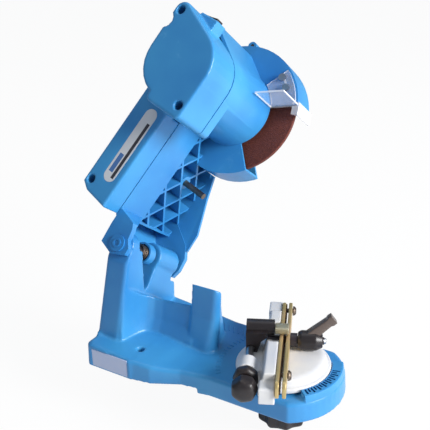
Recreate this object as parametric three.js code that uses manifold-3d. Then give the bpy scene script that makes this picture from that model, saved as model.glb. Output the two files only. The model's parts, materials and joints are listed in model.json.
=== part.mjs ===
// Electric bench sharpener for saw chain, in millimetres, +Z up.
// A plastic base carries a sprung arm on a sideways tilted hinge, and a swivelling cast vise.
// The origin is on the bench face under the hinge. +X runs from the column to the vise.
import * as THREE from 'three';
import { mergeVertices } from 'three/addons/utils/BufferGeometryUtils.js';
import Module from 'manifold-3d';

const wasm = await Module();
wasm.setup();

// Driving dimensions
const gap = 0.3;                 // between neighbouring pieces
const overrun = 2;               // how far a cut runs past the face it opens
const headTilt = THREE.MathUtils.degToRad(36);    // hinge and motor axis, down to the far side
const armRise = THREE.MathUtils.degToRad(69);     // raised arm, from the horizontal
const viseTurn = THREE.MathUtils.degToRad(25);    // vise on its turntable, as it stands

const hinge = { height: 81, pin: 4, lug: 11.5, left: -26.6, right: 49 };
const motor = {
  x: 144, z: 17.5, radius: 31, frontRadius: 33.2, wall: 2.5, cap: -79, seam: -43, front: 22,
};
const arm = {
  left: -53, seam: -32, inner: 0, right: 55, bottom: 17, top: 49, foot: 18, end: 118, wall: 2.6,
};
const wheel = { radius: 54, thick: 3.2, y: 29.4, bore: 11.5 };
const guard = { radius: 57.8, wall: 2.2, depth: 23, clear: 1.6 };
const base = {
  rear: -15.2, blockEnd: 29, waistEnd: 92, nearHalf: 61, farHalf: 43, frontHalf: 42, wall: 3,
  frontRadius: 49, blockTop: 17, rearLift: 4.4, frontTop: 12, slopeEnd: 74, lip: 5, step: 82, draft: 1.6,
};
const turntable = { x: 136, radius: 37.4, low: 13.4, ring: 4.4, step: 33.5, top: 22 };
const rail = { half: 60, thick: 2.8, low: 25, high: 38, face: -0.4, slot: 2.4 };

// Materials, one for each finish
const finish = (color, roughness, metalness = 0) => (
  new THREE.MeshStandardMaterial({ color, roughness, metalness })
);
const bluePlastic = finish(0x3f8fd0, 0.45);
const whiteCasting = finish(0xdfe1e6, 0.5);
const blackPlastic = finish(0x26252a, 0.5);
const zincYellow = finish(0xc2a26c, 0.35, 0.8);
const steel = finish(0xb9bcc0, 0.3, 1);
const darkSteel = finish(0x4b4440, 0.4, 0.8);
const grit = finish(0x5a2a24, 0.9);
const clearPlastic = finish(0xe6e2dc, 0.1);
const paleBrass = finish(0xb6b48a, 0.4, 0.5);
const lamination = finish(0x6d6f73, 0.5, 0.8);
const copper = finish(0xb87349, 0.35, 0.9);
const plate = finish(0xc9ced8, 0.4);

// Solids and booleans
function toSolid(geometry) {
  const bare = geometry.index ? geometry.toNonIndexed() : geometry.clone();
  bare.deleteAttribute('normal');
  bare.deleteAttribute('uv');
  const merged = mergeVertices(bare, 1e-4);
  const vertProperties = new Float32Array(merged.attributes.position.array);
  const triVerts = new Uint32Array(merged.index.array);
  return new wasm.Manifold(new wasm.Mesh({ numProp: 3, vertProperties, triVerts }));
}

function toGeometry(solid) {
  const mesh = solid.getMesh();
  const geometry = new THREE.BufferGeometry();
  const stride = mesh.numProp;
  const count = mesh.vertProperties.length / stride;
  const position = new Float32Array(count * 3);
  for (let i = 0; i < count; i += 1) {
    for (let k = 0; k < 3; k += 1) position[3 * i + k] = mesh.vertProperties[stride * i + k];
  }
  geometry.setAttribute('position', new THREE.BufferAttribute(position, 3));
  geometry.setIndex(new THREE.BufferAttribute(new Uint32Array(mesh.triVerts), 1));
  geometry.computeVertexNormals();
  return geometry;
}

const join = (...solids) => solids.reduce((whole, next) => whole.add(next));
const cut = (solid, ...tools) => tools.reduce((rest, tool) => rest.subtract(tool), solid);

function block(x0, x1, y0, y1, z0, z1) {
  const geometry = new THREE.BoxGeometry(x1 - x0, y1 - y0, z1 - z0);
  geometry.translate((x0 + x1) / 2, (y0 + y1) / 2, (z0 + z1) / 2);
  return toSolid(geometry);
}

// A round rod along one axis; p and q are its place on the other two axes, in x, y, z order.
function rod(axis, radius, from, to, p = 0, q = 0, sides = 28, endRadius = radius) {
  const geometry = new THREE.CylinderGeometry(endRadius, radius, to - from, sides);
  geometry.translate(0, (from + to) / 2, 0);
  if (axis === 'x') {
    geometry.rotateZ(-Math.PI / 2);
    geometry.translate(0, p, q);
  } else if (axis === 'y') {
    geometry.translate(p, 0, q);
  } else {
    geometry.rotateX(Math.PI / 2);
    geometry.translate(p, q, 0);
  }
  return toSolid(geometry);
}

const tube = (axis, outer, inner, from, to, p = 0, q = 0, sides = 28) => cut(
  rod(axis, outer, from, to, p, q, sides),
  rod(axis, inner, from - overrun, to + overrun, p, q, sides),
);

// An outline pushed along an axis: x takes (y, z) outlines, y takes (x, z) and z takes (x, y).
function prism(axis, shape, from, to, bevel = 0) {
  const geometry = new THREE.ExtrudeGeometry(shape, {
    depth: to - from - 2 * bevel,
    bevelEnabled: bevel > 0,
    bevelThickness: bevel,
    bevelSize: bevel,
    bevelOffset: -bevel,
    bevelSegments: 2,
    curveSegments: 10,
  });
  geometry.translate(0, 0, bevel);
  if (axis === 'x') {
    const swap = new THREE.Matrix4();
    swap.set(0, 0, 1, 0, 1, 0, 0, 0, 0, 1, 0, 0, 0, 0, 0, 1);
    geometry.applyMatrix4(swap);
    geometry.translate(from, 0, 0);
  } else if (axis === 'y') {
    geometry.rotateX(Math.PI / 2);
    geometry.translate(0, to, 0);
  } else {
    geometry.translate(0, 0, from);
  }
  return toSolid(geometry);
}

function polygon(points) {
  const shape = new THREE.Shape();
  points.forEach(([x, y], i) => (i ? shape.lineTo(x, y) : shape.moveTo(x, y)));
  shape.closePath();
  return shape;
}

// The outline of a belt round two circles.
function belt(x1, y1, r1, x2, y2, r2) {
  const along = Math.atan2(y2 - y1, x2 - x1);
  const open = Math.acos((r1 - r2) / Math.hypot(x2 - x1, y2 - y1));
  const shape = new THREE.Shape();
  shape.absarc(x1, y1, r1, along + open, along - open + 2 * Math.PI, false);
  shape.absarc(x2, y2, r2, along - open, along + open, false);
  shape.closePath();
  return shape;
}

function roundedBox(x0, x1, y0, y1, radius) {
  const shape = new THREE.Shape();
  shape.absarc(x1 - radius, y1 - radius, radius, 0, Math.PI / 2, false);
  shape.absarc(x0 + radius, y1 - radius, radius, Math.PI / 2, Math.PI, false);
  shape.absarc(x0 + radius, y0 + radius, radius, Math.PI, 1.5 * Math.PI, false);
  shape.absarc(x1 - radius, y0 + radius, radius, 1.5 * Math.PI, 2 * Math.PI, false);
  shape.closePath();
  return shape;
}

// A ring of points: a rectangle with round corners, anticlockwise seen from above. The rounding may
// be one radius for each corner, from the far front one round, and the height may follow x.
function cornerRing(x0, x1, y0, y1, rounding, height, steps = 5) {
  const ring = [];
  const corners = [[x1, y1, 0], [x0, y1, 1], [x0, y0, 2], [x1, y0, 3]];
  for (const [x, y, quarter] of corners) {
    const radius = Array.isArray(rounding) ? rounding[quarter] : rounding;
    const cx = x === x1 ? x1 - radius : x0 + radius;
    const cy = y === y1 ? y1 - radius : y0 + radius;
    for (let i = 0; i <= steps; i += 1) {
      const turn = (quarter + i / steps) * Math.PI / 2;
      const px = cx + radius * Math.cos(turn);
      const z = typeof height === 'function' ? height(px) : height;
      ring.push(new THREE.Vector3(px, cy + radius * Math.sin(turn), z));
    }
  }
  return ring;
}

// A skin over rings with equal counts, lowest ring first, closed by flat ends. With a pairing,
// points i and pairing - i face each other and the top is a strip of level lines between them.
function loft(rings, pairing = -1) {
  const count = rings[0].length;
  const points = rings.flat();
  const index = [];
  for (let level = 0; level + 1 < rings.length; level += 1) {
    for (let i = 0; i < count; i += 1) {
      const a = level * count + i;
      const b = level * count + ((i + 1) % count);
      index.push(a, b, b + count, a, b + count, a + count);
    }
  }
  const middle = (ring) => ring.reduce((sum, p) => sum.add(p), new THREE.Vector3())
    .divideScalar(count);
  const last = (rings.length - 1) * count;
  points.push(middle(rings[0]), middle(rings[rings.length - 1]));
  for (let i = 0; i < count; i += 1) {
    const next = (i + 1) % count;
    index.push(points.length - 2, next, i);
    if (pairing < 0) index.push(points.length - 1, last + i, last + next);
  }
  for (let i = 0; pairing >= 0 && i < count / 2; i += 1) {
    const [a, b] = [pairing / 2 + i, pairing / 2 + i + 1].map((k) => last + k % count);
    const [c, d] = [pairing / 2 - i, pairing / 2 - i - 1].map((k) => last + (k + count) % count);
    index.push(a, b, d, a, d, c);
  }
  const geometry = new THREE.BufferGeometry().setFromPoints(points);
  geometry.setIndex(index);
  return toSolid(geometry);
}

const assembly = new THREE.Group();
const armFrame = new THREE.Group();
const viseFrame = new THREE.Group();

function place(group, name, solid, material) {
  const mesh = new THREE.Mesh(toGeometry(solid), material);
  mesh.name = name;
  group.add(mesh);
}

// Turns the arm's own axes to their place: x along the arm, y along the tilted hinge, z to its back.
const across = new THREE.Vector3(0, Math.cos(headTilt), -Math.sin(headTilt));
const upright = new THREE.Vector3(0, Math.sin(headTilt), Math.cos(headTilt));
const along = new THREE.Vector3(Math.cos(armRise), 0, 0).addScaledVector(upright, Math.sin(armRise));
const backward = new THREE.Vector3().crossVectors(along, across);
armFrame.matrixAutoUpdate = false;
armFrame.matrix.makeBasis(along, across, backward).setPosition(0, 0, hinge.height);
viseFrame.position.set(turntable.x, 0, 0);
viseFrame.rotation.z = viseTurn;

// The same tilted axes at the hinge, for what the column shares with the arm: x, y along the pin.
const hingeMatrix = new THREE.Matrix4().makeBasis(new THREE.Vector3(1, 0, 0), across, upright);
hingeMatrix.setPosition(0, 0, hinge.height);
const tilted = (solid) => solid.transform(hingeMatrix.elements);

// Base shell

const waistShares = [[0, 0], [0.04, 0.06], [0.28, 0.2], [0.44, 0.44], [0.63, 0.76], [1, 1]];

// The top falls from the rear edge to the rear block's end, and on to the round front.
function topAt(x) {
  const share = THREE.MathUtils.smoothstep(x, base.blockEnd, base.slopeEnd);
  const lift = base.rearLift * Math.max(0, THREE.MathUtils.inverseLerp(base.blockEnd, base.rear, x));
  return THREE.MathUtils.lerp(base.blockTop, base.frontTop, share) + lift;
}

const arcSteps = 16;

// The base's outline, drawn in by inset; height gives each point its z.
function baseRing(inset, height) {
  const near = waistShares.map(([run, pull]) => [
    THREE.MathUtils.lerp(base.blockEnd, base.waistEnd, run),
    THREE.MathUtils.lerp(base.nearHalf, base.frontHalf, pull) - inset,
  ]);
  const radius = base.frontRadius - inset;
  const open = Math.asin((base.frontHalf - inset) / radius);
  const ring = [];
  for (let i = 0; i <= arcSteps; i += 1) {
    const turn = -open + 2 * open * i / arcSteps;
    ring.push([turntable.x + radius * Math.cos(turn), radius * Math.sin(turn)]);
  }
  const corner = base.wall;
  const rear = base.rear + inset;
  const far = base.farHalf - inset;
  [...near].reverse().forEach(([x]) => ring.push([x, far]));
  ring.push([rear + corner, far], [rear, far - corner], [rear, 0]);
  ring.push([rear, corner + inset - base.nearHalf], [rear + corner, inset - base.nearHalf]);
  near.forEach(([x, y]) => ring.push([x, -y]));
  return ring.map(([x, y]) => new THREE.Vector3(x, y, height(x)));
}

const column = {
  rearLow: -15.8, rearHigh: -8.6, frontLow: 6.5, frontHigh: 12.4, nearLow: -43.5, nearHigh: -25,
  farLow: 39.5, farHigh: 37, foot: 20, top: 108, corner: 3, wall: 4,
};
const web = {
  start: 0, front: 9, fall: 4, end: 58, cut: -33.6, slope: 3.6,
  low: { z: 17, half: 14, flare: 28.5 },
  waist: { z: 28, half: 8.5, flare: 32.5 },
  middle: { z: 44, half: 4.6, flare: 32.6 },
  top: { z: 70, half: 3.6, flare: 28 },
};
const webRunShares = [0, 0.14, 0.16, 0.185, 0.215, 0.26, 0.33, 0.45, 0.66, 1];
const post = {
  x0: 54.6, x1: 79.5, y0: -3, y1: 20, top: 70, cut: -13.6, spread: 12, draft: 1.6, wall: 3,
  corners: [4, 9], recedes: [0.62, 0.3],
};
const shoulder = { out: 9, rearRise: 5.5, frontRise: 0.4, spread: 2 };

function columnRing(z, inset) {
  const share = (z - column.foot) / (column.top - column.foot);
  const mix = (low, high) => THREE.MathUtils.lerp(low, high, share);
  return cornerRing(
    mix(column.rearLow, column.rearHigh) + inset,
    mix(column.frontLow, column.frontHigh) - inset,
    mix(column.nearLow, column.nearHigh) + inset,
    mix(column.farLow, column.farHigh) - inset,
    column.corner - inset / 2,
    z,
  );
}

// The column reaches the pin's axis, and two round lugs carry the pin.
const lugs = { under: 14, cutTop: 60, far: 90, notchBottom: 31, neck: 7.2, neckFrom: -16, neckTo: -9 };
const notchEdge = [[-9, 26], [-9, -2], [13.5, -29.5], [16, -26], [17, -8], [17, 26]];

function columnBody(inset) {
  const low = inset > 0 ? -base.lip : base.blockTop - base.wall;
  const levels = [low, (low + hinge.height) / 2, column.top];
  const tower = loft(levels.map((z) => columnRing(z, inset)));
  const above = tilted(block(-lugs.far, lugs.far, -lugs.far, lugs.far, -inset, lugs.cutTop));
  return cut(tower, above);
}

const notch = () => tilted(prism('x', polygon(notchEdge), -lugs.notchBottom, lugs.notchBottom));

const mountHoles = [{ x: 27, y: -41 }, { x: 24, y: 31 }];
const mountHole = { radius: 3.2, boss: 7 };
const scale = { inner: 38.2, outer: 46.8, rise: 3.6, near: -0.75, far: 0.55 };
const swivel = { bolt: 4, boss: 9 };
const pad = { radius: 11, rib: 2 };   // rests on the bench under the hinge

function scalePanel(inner, outer, low, turnFrom, turnTo) {
  const shape = new THREE.Shape();
  shape.absarc(0, 0, outer, turnFrom, turnTo, false);
  shape.absarc(0, 0, inner, turnTo, turnFrom, true);
  shape.closePath();
  const panel = prism('z', shape, low, base.frontTop + scale.rise);
  return panel.translate([turntable.x, 0, 0]);
}

function webRing(level, inset) {
  const half = level.half - inset;
  const flare = level.flare - inset / 2;
  const ring = [];
  const points = webRunShares.map((share) => {
    const x = THREE.MathUtils.lerp(web.start, web.end, share);
    const reach = Math.min(1, Math.exp((web.front - x) / web.fall));
    return [x, half + flare * reach, half + flare * reach / 4];
  });
  points.forEach(([x, near]) => ring.push(new THREE.Vector3(x, -near, level.z)));
  [...points].reverse().forEach(([x, , far]) => ring.push(new THREE.Vector3(x, far, level.z)));
  return ring;
}

// The web's top runs with the pin and rises a little towards the post.
function webBody(inset) {
  const z = inset > 0 ? -base.lip : base.frontTop - base.wall;
  const thin = Math.min(inset, web.top.half / 2);
  const body = loft([
    webRing({ ...web.low, z }, inset),
    webRing(web.low, inset),
    webRing(web.waist, inset),
    webRing(web.middle, thin),
    webRing(web.top, thin),
  ]);
  const above = block(-lugs.far, lugs.far, -lugs.far, lugs.far, -inset, lugs.cutTop)
    .rotate([0, -web.slope, 0])
    .translate([0, 0, web.cut]);
  return cut(body, tilted(above));
}

// The stop post: its top is cut square to the depth screw, so it falls to the far side.
function postRing(grow, inset, z) {
  const near = post.y0 - grow * post.spread + inset;
  const right = post.x1 - grow * post.draft - inset;
  const radius = Math.max(THREE.MathUtils.lerp(...post.corners, grow) - inset, 1);
  const recede = THREE.MathUtils.lerp(...post.recedes, grow);
  const left = post.x0 + inset;
  const far = post.y1 - inset * 2;
  const ring = [new THREE.Vector3(left, near, z)];
  const steps = 6;
  for (let i = 0; i <= steps; i += 1) {
    const turn = -Math.PI / 2 + (Math.PI / 2 + recede) * i / steps;
    ring.push(new THREE.Vector3(right - radius + radius * Math.cos(turn),
      near + radius + radius * Math.sin(turn), z));
  }
  const reach = far - near - radius;
  ring.push(new THREE.Vector3(right - reach * Math.tan(recede) - inset / 2, far, z));
  ring.push(new THREE.Vector3(left, far, z));
  return ring;
}

function postBody(inset) {
  const low = inset > 0 ? -base.lip : base.frontTop - base.wall;
  const body = loft([
    postRing(1, inset, low),
    postRing(1 / 3, inset, (low + post.top) / 2),
    postRing(0, inset, post.top),
  ]);
  const above = tilted(block(post.x0 - overrun, post.x1 + overrun, -lugs.far, lugs.far,
    post.cut - inset, lugs.cutTop));
  return cut(body, above);
}

function baseShell() {
  const topRing = (inset) => baseRing(inset, topAt);
  const outer = loft([
    baseRing(0, () => -base.lip),
    baseRing(base.draft / 2, (x) => topAt(x) - base.draft),
    topRing(base.draft * 2),
  ], arcSteps);
  const foot = {
    x0: column.rearLow + shoulder.spread,
    x1: column.frontLow + shoulder.spread,
    y0: column.nearLow - shoulder.spread,
    y1: Math.min(column.farLow + shoulder.spread, base.farHalf - base.wall / 2),
  };
  const saddle = loft([
    cornerRing(base.rear + base.wall, foot.x1 + shoulder.out, foot.y0 - shoulder.out,
      base.farHalf - base.wall / 2, base.wall, base.blockTop - base.draft),
    cornerRing(base.rear, foot.x1, foot.y0, foot.y1, base.wall, (x) => base.blockTop
      + THREE.MathUtils.mapLinear(x, base.rear, foot.x1, shoulder.rearRise, shoulder.frontRise)),
  ]);
  const clearBench = block(base.rear - overrun, base.step, -base.nearHalf - overrun,
    base.nearHalf + overrun, -base.lip - overrun, 0);
  const inner = loft([
    baseRing(base.wall + base.draft, () => -base.lip - overrun),
    baseRing(base.wall + base.draft, (x) => topAt(x) - base.wall),
  ], arcSteps);
  const innerColumn = columnBody(column.wall);
  const bosses = mountHoles.map(({ x, y }) => rod('z', mountHole.boss, 0, topAt(x) - base.wall / 2,
    x, y));
  const boltBoss = rod('z', swivel.boss, -base.lip, base.frontTop, turntable.x, 0);
  const holes = mountHoles.map(({ x, y }) => rod('z', mountHole.radius, -overrun,
    base.blockTop + shoulder.rearRise, x, y));
  const lugBody = tilted(join(
    rod('y', hinge.lug, hinge.left, lugs.neckFrom),
    rod('y', lugs.neck, hinge.left, hinge.right),
    rod('y', hinge.lug, lugs.neckTo, hinge.right),
  ));
  const sideCuts = [
    [-lugs.far, hinge.left],
    [hinge.right, lugs.far],
  ].map(([from, to]) => tilted(block(-lugs.far, lugs.far, from, to, -lugs.under, lugs.cutTop)));
  const plateBed = block(label.x0 - gap, label.x1 + gap, -base.nearHalf - overrun,
    label.bed, label.low - gap, label.high + gap);
  let shell = join(outer, saddle);
  shell = join(shell, webBody(0), postBody(0), columnBody(0), lugBody);
  shell = cut(shell, ...sideCuts, notch(), clearBench, inner);
  shell = cut(shell, webBody(base.wall), postBody(post.wall), innerColumn.intersect(
    tilted(block(-lugs.far, lugs.far, -lugs.far, lugs.far, -lugs.far * 2,
      -lugs.notchBottom - column.wall)),
  ));
  shell = join(shell, ...bosses, boltBoss, block(-pad.rib, pad.rib, base.wall - base.nearHalf,
    base.farHalf - base.wall, 0, topAt(pad.rib) - base.wall / 2), rod('z', pad.radius, 0,
    topAt(pad.radius) - base.wall / 2));
  shell = join(shell, scalePanel(scale.inner, scale.outer, base.frontTop - base.wall, scale.near,
    scale.far));
  shell = cut(shell, ...holes, plateBed);
  shell = cut(shell, rod('z', swivel.bolt + gap, -base.lip - overrun,
    base.frontTop + overrun, turntable.x, 0));
  const bore = tilted(rod('y', hinge.pin + gap, hinge.left - overrun, hinge.right + overrun));
  return cut(shell, bore);
}

// The plain plate sits in a bed in the near side of the rear block.
const label = { x0: -8.5, x1: 27, low: 1.2, high: 16.4, bed: -58.9, thick: 0.8 };

place(assembly, 'base_shell', baseShell(), bluePlastic);
place(
  assembly,
  'side_plate',
  block(label.x0, label.x1, label.bed - gap - label.thick, label.bed - gap, label.low, label.high),
  plate,
);

// Hinge pin with its clips, the bush and the return spring

const pinEnds = { left: -30.6, right: 60.6 };
const bush = { from: 4, to: 12.5, outer: 9.2, inner: 7.4, floor: 1.6 };
const spring = { wire: 0.7, coil: 5.8, turns: 4, from: -1.5, to: 9.4 };

place(assembly, 'hinge_pin', tilted(rod('y', hinge.pin, pinEnds.left, pinEnds.right)), steel);
place(
  assembly,
  'hinge_bush',
  tilted(join(
    tube('y', bush.outer, bush.inner, bush.from, bush.to),
    tube('y', bush.outer, hinge.pin + gap, bush.to - bush.floor, bush.to),
  )),
  bluePlastic,
);

// The spring is one tube along a helix: 8 steps a turn and 5 sides, with straight square ends.
function springSolid() {
  const stepsPerTurn = 8;
  const steps = spring.turns * stepsPerTurn;
  const pitch = (spring.to - spring.from) / spring.turns;
  const at = (i) => {
    const turn = 2 * Math.PI * i / stepsPerTurn;
    return new THREE.Vector3(
      spring.coil * Math.cos(turn),
      spring.from + pitch * i / stepsPerTurn,
      spring.coil * Math.sin(turn),
    );
  };
  const path = [];
  for (let i = 0; i <= steps; i += 1) path.push(at(i));
  path.unshift(at(0).add(new THREE.Vector3(0, 0, -spring.wire * 2)));
  path.push(at(steps).add(new THREE.Vector3(0, 0, spring.wire * 2)));
  const sides = 5;
  const index = [];
  const points = [];
  path.forEach((p, i) => {
    const ahead = path[Math.min(i + 1, path.length - 1)].clone();
    const direction = ahead.sub(path[Math.max(i - 1, 0)]).normalize();
    const out = new THREE.Vector3(p.x, 0, p.z).normalize();
    const up = new THREE.Vector3().crossVectors(direction, out).normalize();
    out.crossVectors(up, direction);
    for (let k = 0; k < sides; k += 1) {
      const turn = 2 * Math.PI * k / sides;
      points.push(p.clone().addScaledVector(out, spring.wire * Math.cos(turn))
        .addScaledVector(up, spring.wire * Math.sin(turn)));
    }
  });
  for (let i = 0; i + 1 < path.length; i += 1) {
    for (let k = 0; k < sides; k += 1) {
      const a = i * sides + k;
      const b = i * sides + ((k + 1) % sides);
      index.push(a, b, b + sides, a, b + sides, a + sides);
    }
  }
  for (let k = 1; k + 1 < sides; k += 1) {
    const end = (path.length - 1) * sides;
    index.push(0, k + 1, k, end, end + k, end + k + 1);
  }
  let least = Infinity;
  path.forEach((p, i) => path.forEach((q, j) => {
    if (j - i > stepsPerTurn / 2) least = Math.min(least, p.distanceTo(q));
  }));
  console.log('spring: least gap to itself', (least - 2 * spring.wire).toFixed(2), 'mm');
  const geometry = new THREE.BufferGeometry().setFromPoints(points);
  geometry.setIndex(index);
  return toSolid(geometry);
}
place(assembly, 'return_spring', tilted(springSolid()), steel);

// Arm housing: ribs, ears, motor tube and wheel guard in one moulding

const ear = { thick: 5.4, boss: 6.8, bossHigh: 1.6, right: 3.2, ring: 3.7, ringWall: 1.3, ringHigh: 0.7 };
const lobe = { x0: 107, radius: 5, top: 24 };
const topEar = { x: 178.5, z: 41.5, radius: 7.5, neckX: 166.6, neckRadius: 7.2, neckRise: 2.4 };
const hump = { x: 180, z: 38, radius: 10, from: -62 };
const cornerCut = { run: 7, rise: 8 };
const farWall = { thick: 2.6 };
const farWallShares = [[1, 0.02], [0.82, 0.02], [0.72, -0.03], [0.48, -0.3], [0.17, -0.72], [0, -0.75]];
const rib = { thick: 2, pitch: 18, back: 3, depthFrom: 17, families: [[1, -4], [-1, 11]] };
const hood = { from: -4, outer: [[18.6, 40.5], [-5.4, 15.6]], inner: [[-3.8, 13.9], [19.5, 38.1]] };

// The box part of the arm, seen from the side, with its cut lower back corner.
function armOutline(inset) {
  const x0 = arm.foot + inset;
  const z0 = arm.bottom + inset;
  const z1 = arm.top - inset;
  return polygon([
    [x0, z0],
    [arm.end, z0],
    [arm.end, z1],
    [x0 + cornerCut.run, z1],
    [x0 + cornerCut.run / 3, z1 - cornerCut.rise],
  ]);
}

function humpForm(from, to, inset, corner, bevel = 0) {
  const outline = belt(motor.x, motor.z, motor.radius - inset, corner.x, corner.z, corner.radius - inset);
  return prism('y', outline, from, to, bevel);
}

function motorForm(from, to, inset, corner, bevel = 0) {
  const bottom = motor.z - motor.radius + inset;
  return join(
    humpForm(from, to, inset, corner, bevel),
    prism('y', roundedBox(lobe.x0 + inset, motor.x, bottom, lobe.top, lobe.radius), from, to, bevel),
  );
}

const openFrom = THREE.MathUtils.degToRad(-131);   // wheel opening, from the arm's axis
const openTo = THREE.MathUtils.degToRad(-57);

// A wedge of the wheel's circle, from one angle to the other.
function sector(radius, turnFrom, turnTo, from, to) {
  const shape = new THREE.Shape();
  shape.moveTo(0, 0);
  shape.lineTo(radius * Math.cos(turnFrom), radius * Math.sin(turnFrom));
  shape.absarc(0, 0, radius, turnFrom, turnTo, false);
  shape.closePath();
  return prism('y', shape, from, to).translate([motor.x, 0, motor.z]);
}

const guardWall = { near: motor.front, far: motor.front + guard.depth };
const lobeEnd = -33;             // behind it the motor tube is round
const coverBolts = { radius: 59.6, boss: 4, hole: 1.7, turnsDeg: [25, 100, 130], from: [26, 38.5, 38.5] };

function boltPlaces() {
  return coverBolts.turnsDeg.map((degrees) => {
    const turn = THREE.MathUtils.degToRad(degrees);
    return [
      motor.x + coverBolts.radius * Math.cos(turn),
      motor.z + coverBolts.radius * Math.sin(turn),
    ];
  });
}

function guardBody() {
  const { near, far } = guardWall;
  const outer = rod('y', guard.radius, near, far, motor.x, motor.z, 56);
  const inner = rod('y', guard.radius - guard.wall, near + guard.wall, far + overrun,
    motor.x, motor.z, 56);
  const bosses = boltPlaces().map(([x, z], i) => rod('y', coverBolts.boss, coverBolts.from[i], far,
    x, z, 16));
  const shell = cut(join(outer, ...bosses), inner,
    sector(guard.radius + overrun, openFrom, openTo, near - overrun, far + overrun));
  return shell;
}

function ribGrid() {
  const y1 = arm.right - farWall.thick / 2;
  const width = arm.end - arm.foot;
  const depth = arm.top - rib.depthFrom;
  const cell = rib.pitch;
  const ribs = [];
  const reach = Math.hypot(width, y1);
  for (const [lean, offset] of rib.families) {
    for (let k = -6; k <= 6; k += 1) {
      const bar = new THREE.BoxGeometry(reach * 2, rib.thick, depth);
      bar.translate(0, k * cell + offset, 0);
      bar.rotateZ(lean * Math.PI / 4);
      bar.translate(arm.foot + width / 2, y1 / 2, (arm.top + rib.depthFrom) / 2);
      ribs.push(toSolid(bar));
    }
  }
  const field = block(arm.foot, arm.end, arm.inner, y1, rib.depthFrom, arm.top);
  return join(...ribs).intersect(field);
}

function farWallOutline() {
  const run = arm.end - arm.foot;
  const points = farWallShares.map(([share, drop]) => [
    arm.foot + share * run,
    arm.bottom + drop * (arm.top - arm.bottom),
  ]);
  points.push([arm.foot, arm.top]);
  points.push([arm.end, arm.top]);
  return polygon(points);
}

// The near ear ends in a rounded front corner; the far ear also closes the side of the hood.
const leftEarEdge = [
  [24, 18.5], [21.6, 4], [20.2, -1.2], [15.6, -4.1], [7.6, -5.8], [2, -11.3], [-3.9, -11.6],
  [-10.2, 0.9], [-7.3, 14.7], [9.2, 16.6], [16.2, 16.8], [18.5, 19],
];
const rightEarEdge = [
  [20.6, 43], [-5.4, 15.6], [-11.5, 0], [-8, -9.8], [0, -11.5], [11.7, -9.8], [21.8, -2.3],
  [33.5, 19.6], [33.5, 41],
];
// A slanted wall leads from the box's underside to the front of the near ear.
const brace = { slope: [[-31, -3.6], [-27.5, -3.6], [0, 17], [0, 19], [-31, 19]], from: 2, to: 30 };

const bearing = { outer: 11, bore: 4, wide: 7, seat: 3 };
const shaft = { radius: 4, from: -75.4, to: 43 };
const motorFrontWall = { thick: 3.4 };
const depthScrew = { x: 67.5, y: 24, radius: 2.6, tip: -6.2, boss: 6 };
const screwHole = { radius: 1.7, head: 3.4 };
const coverScrews = [
  { name: 'cover_screw_foot', x: 30, z: 43, head: -42, face: arm.left, deep: arm.seam + 8 },
  { name: 'cover_screw_lobe', x: 117, z: -6.5, head: -66, face: motor.cap, deep: motor.seam + 9 },
  { name: 'cover_screw_top', x: 178.5, z: 43, head: -66, face: motor.cap, deep: motor.seam + 9 },
];
const screwBoss = 5.6;

const screwBosses = (from, to) => coverScrews.map((s) => (
  rod('y', screwBoss, from(s), to(s), s.x, s.z, 18)
));

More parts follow.
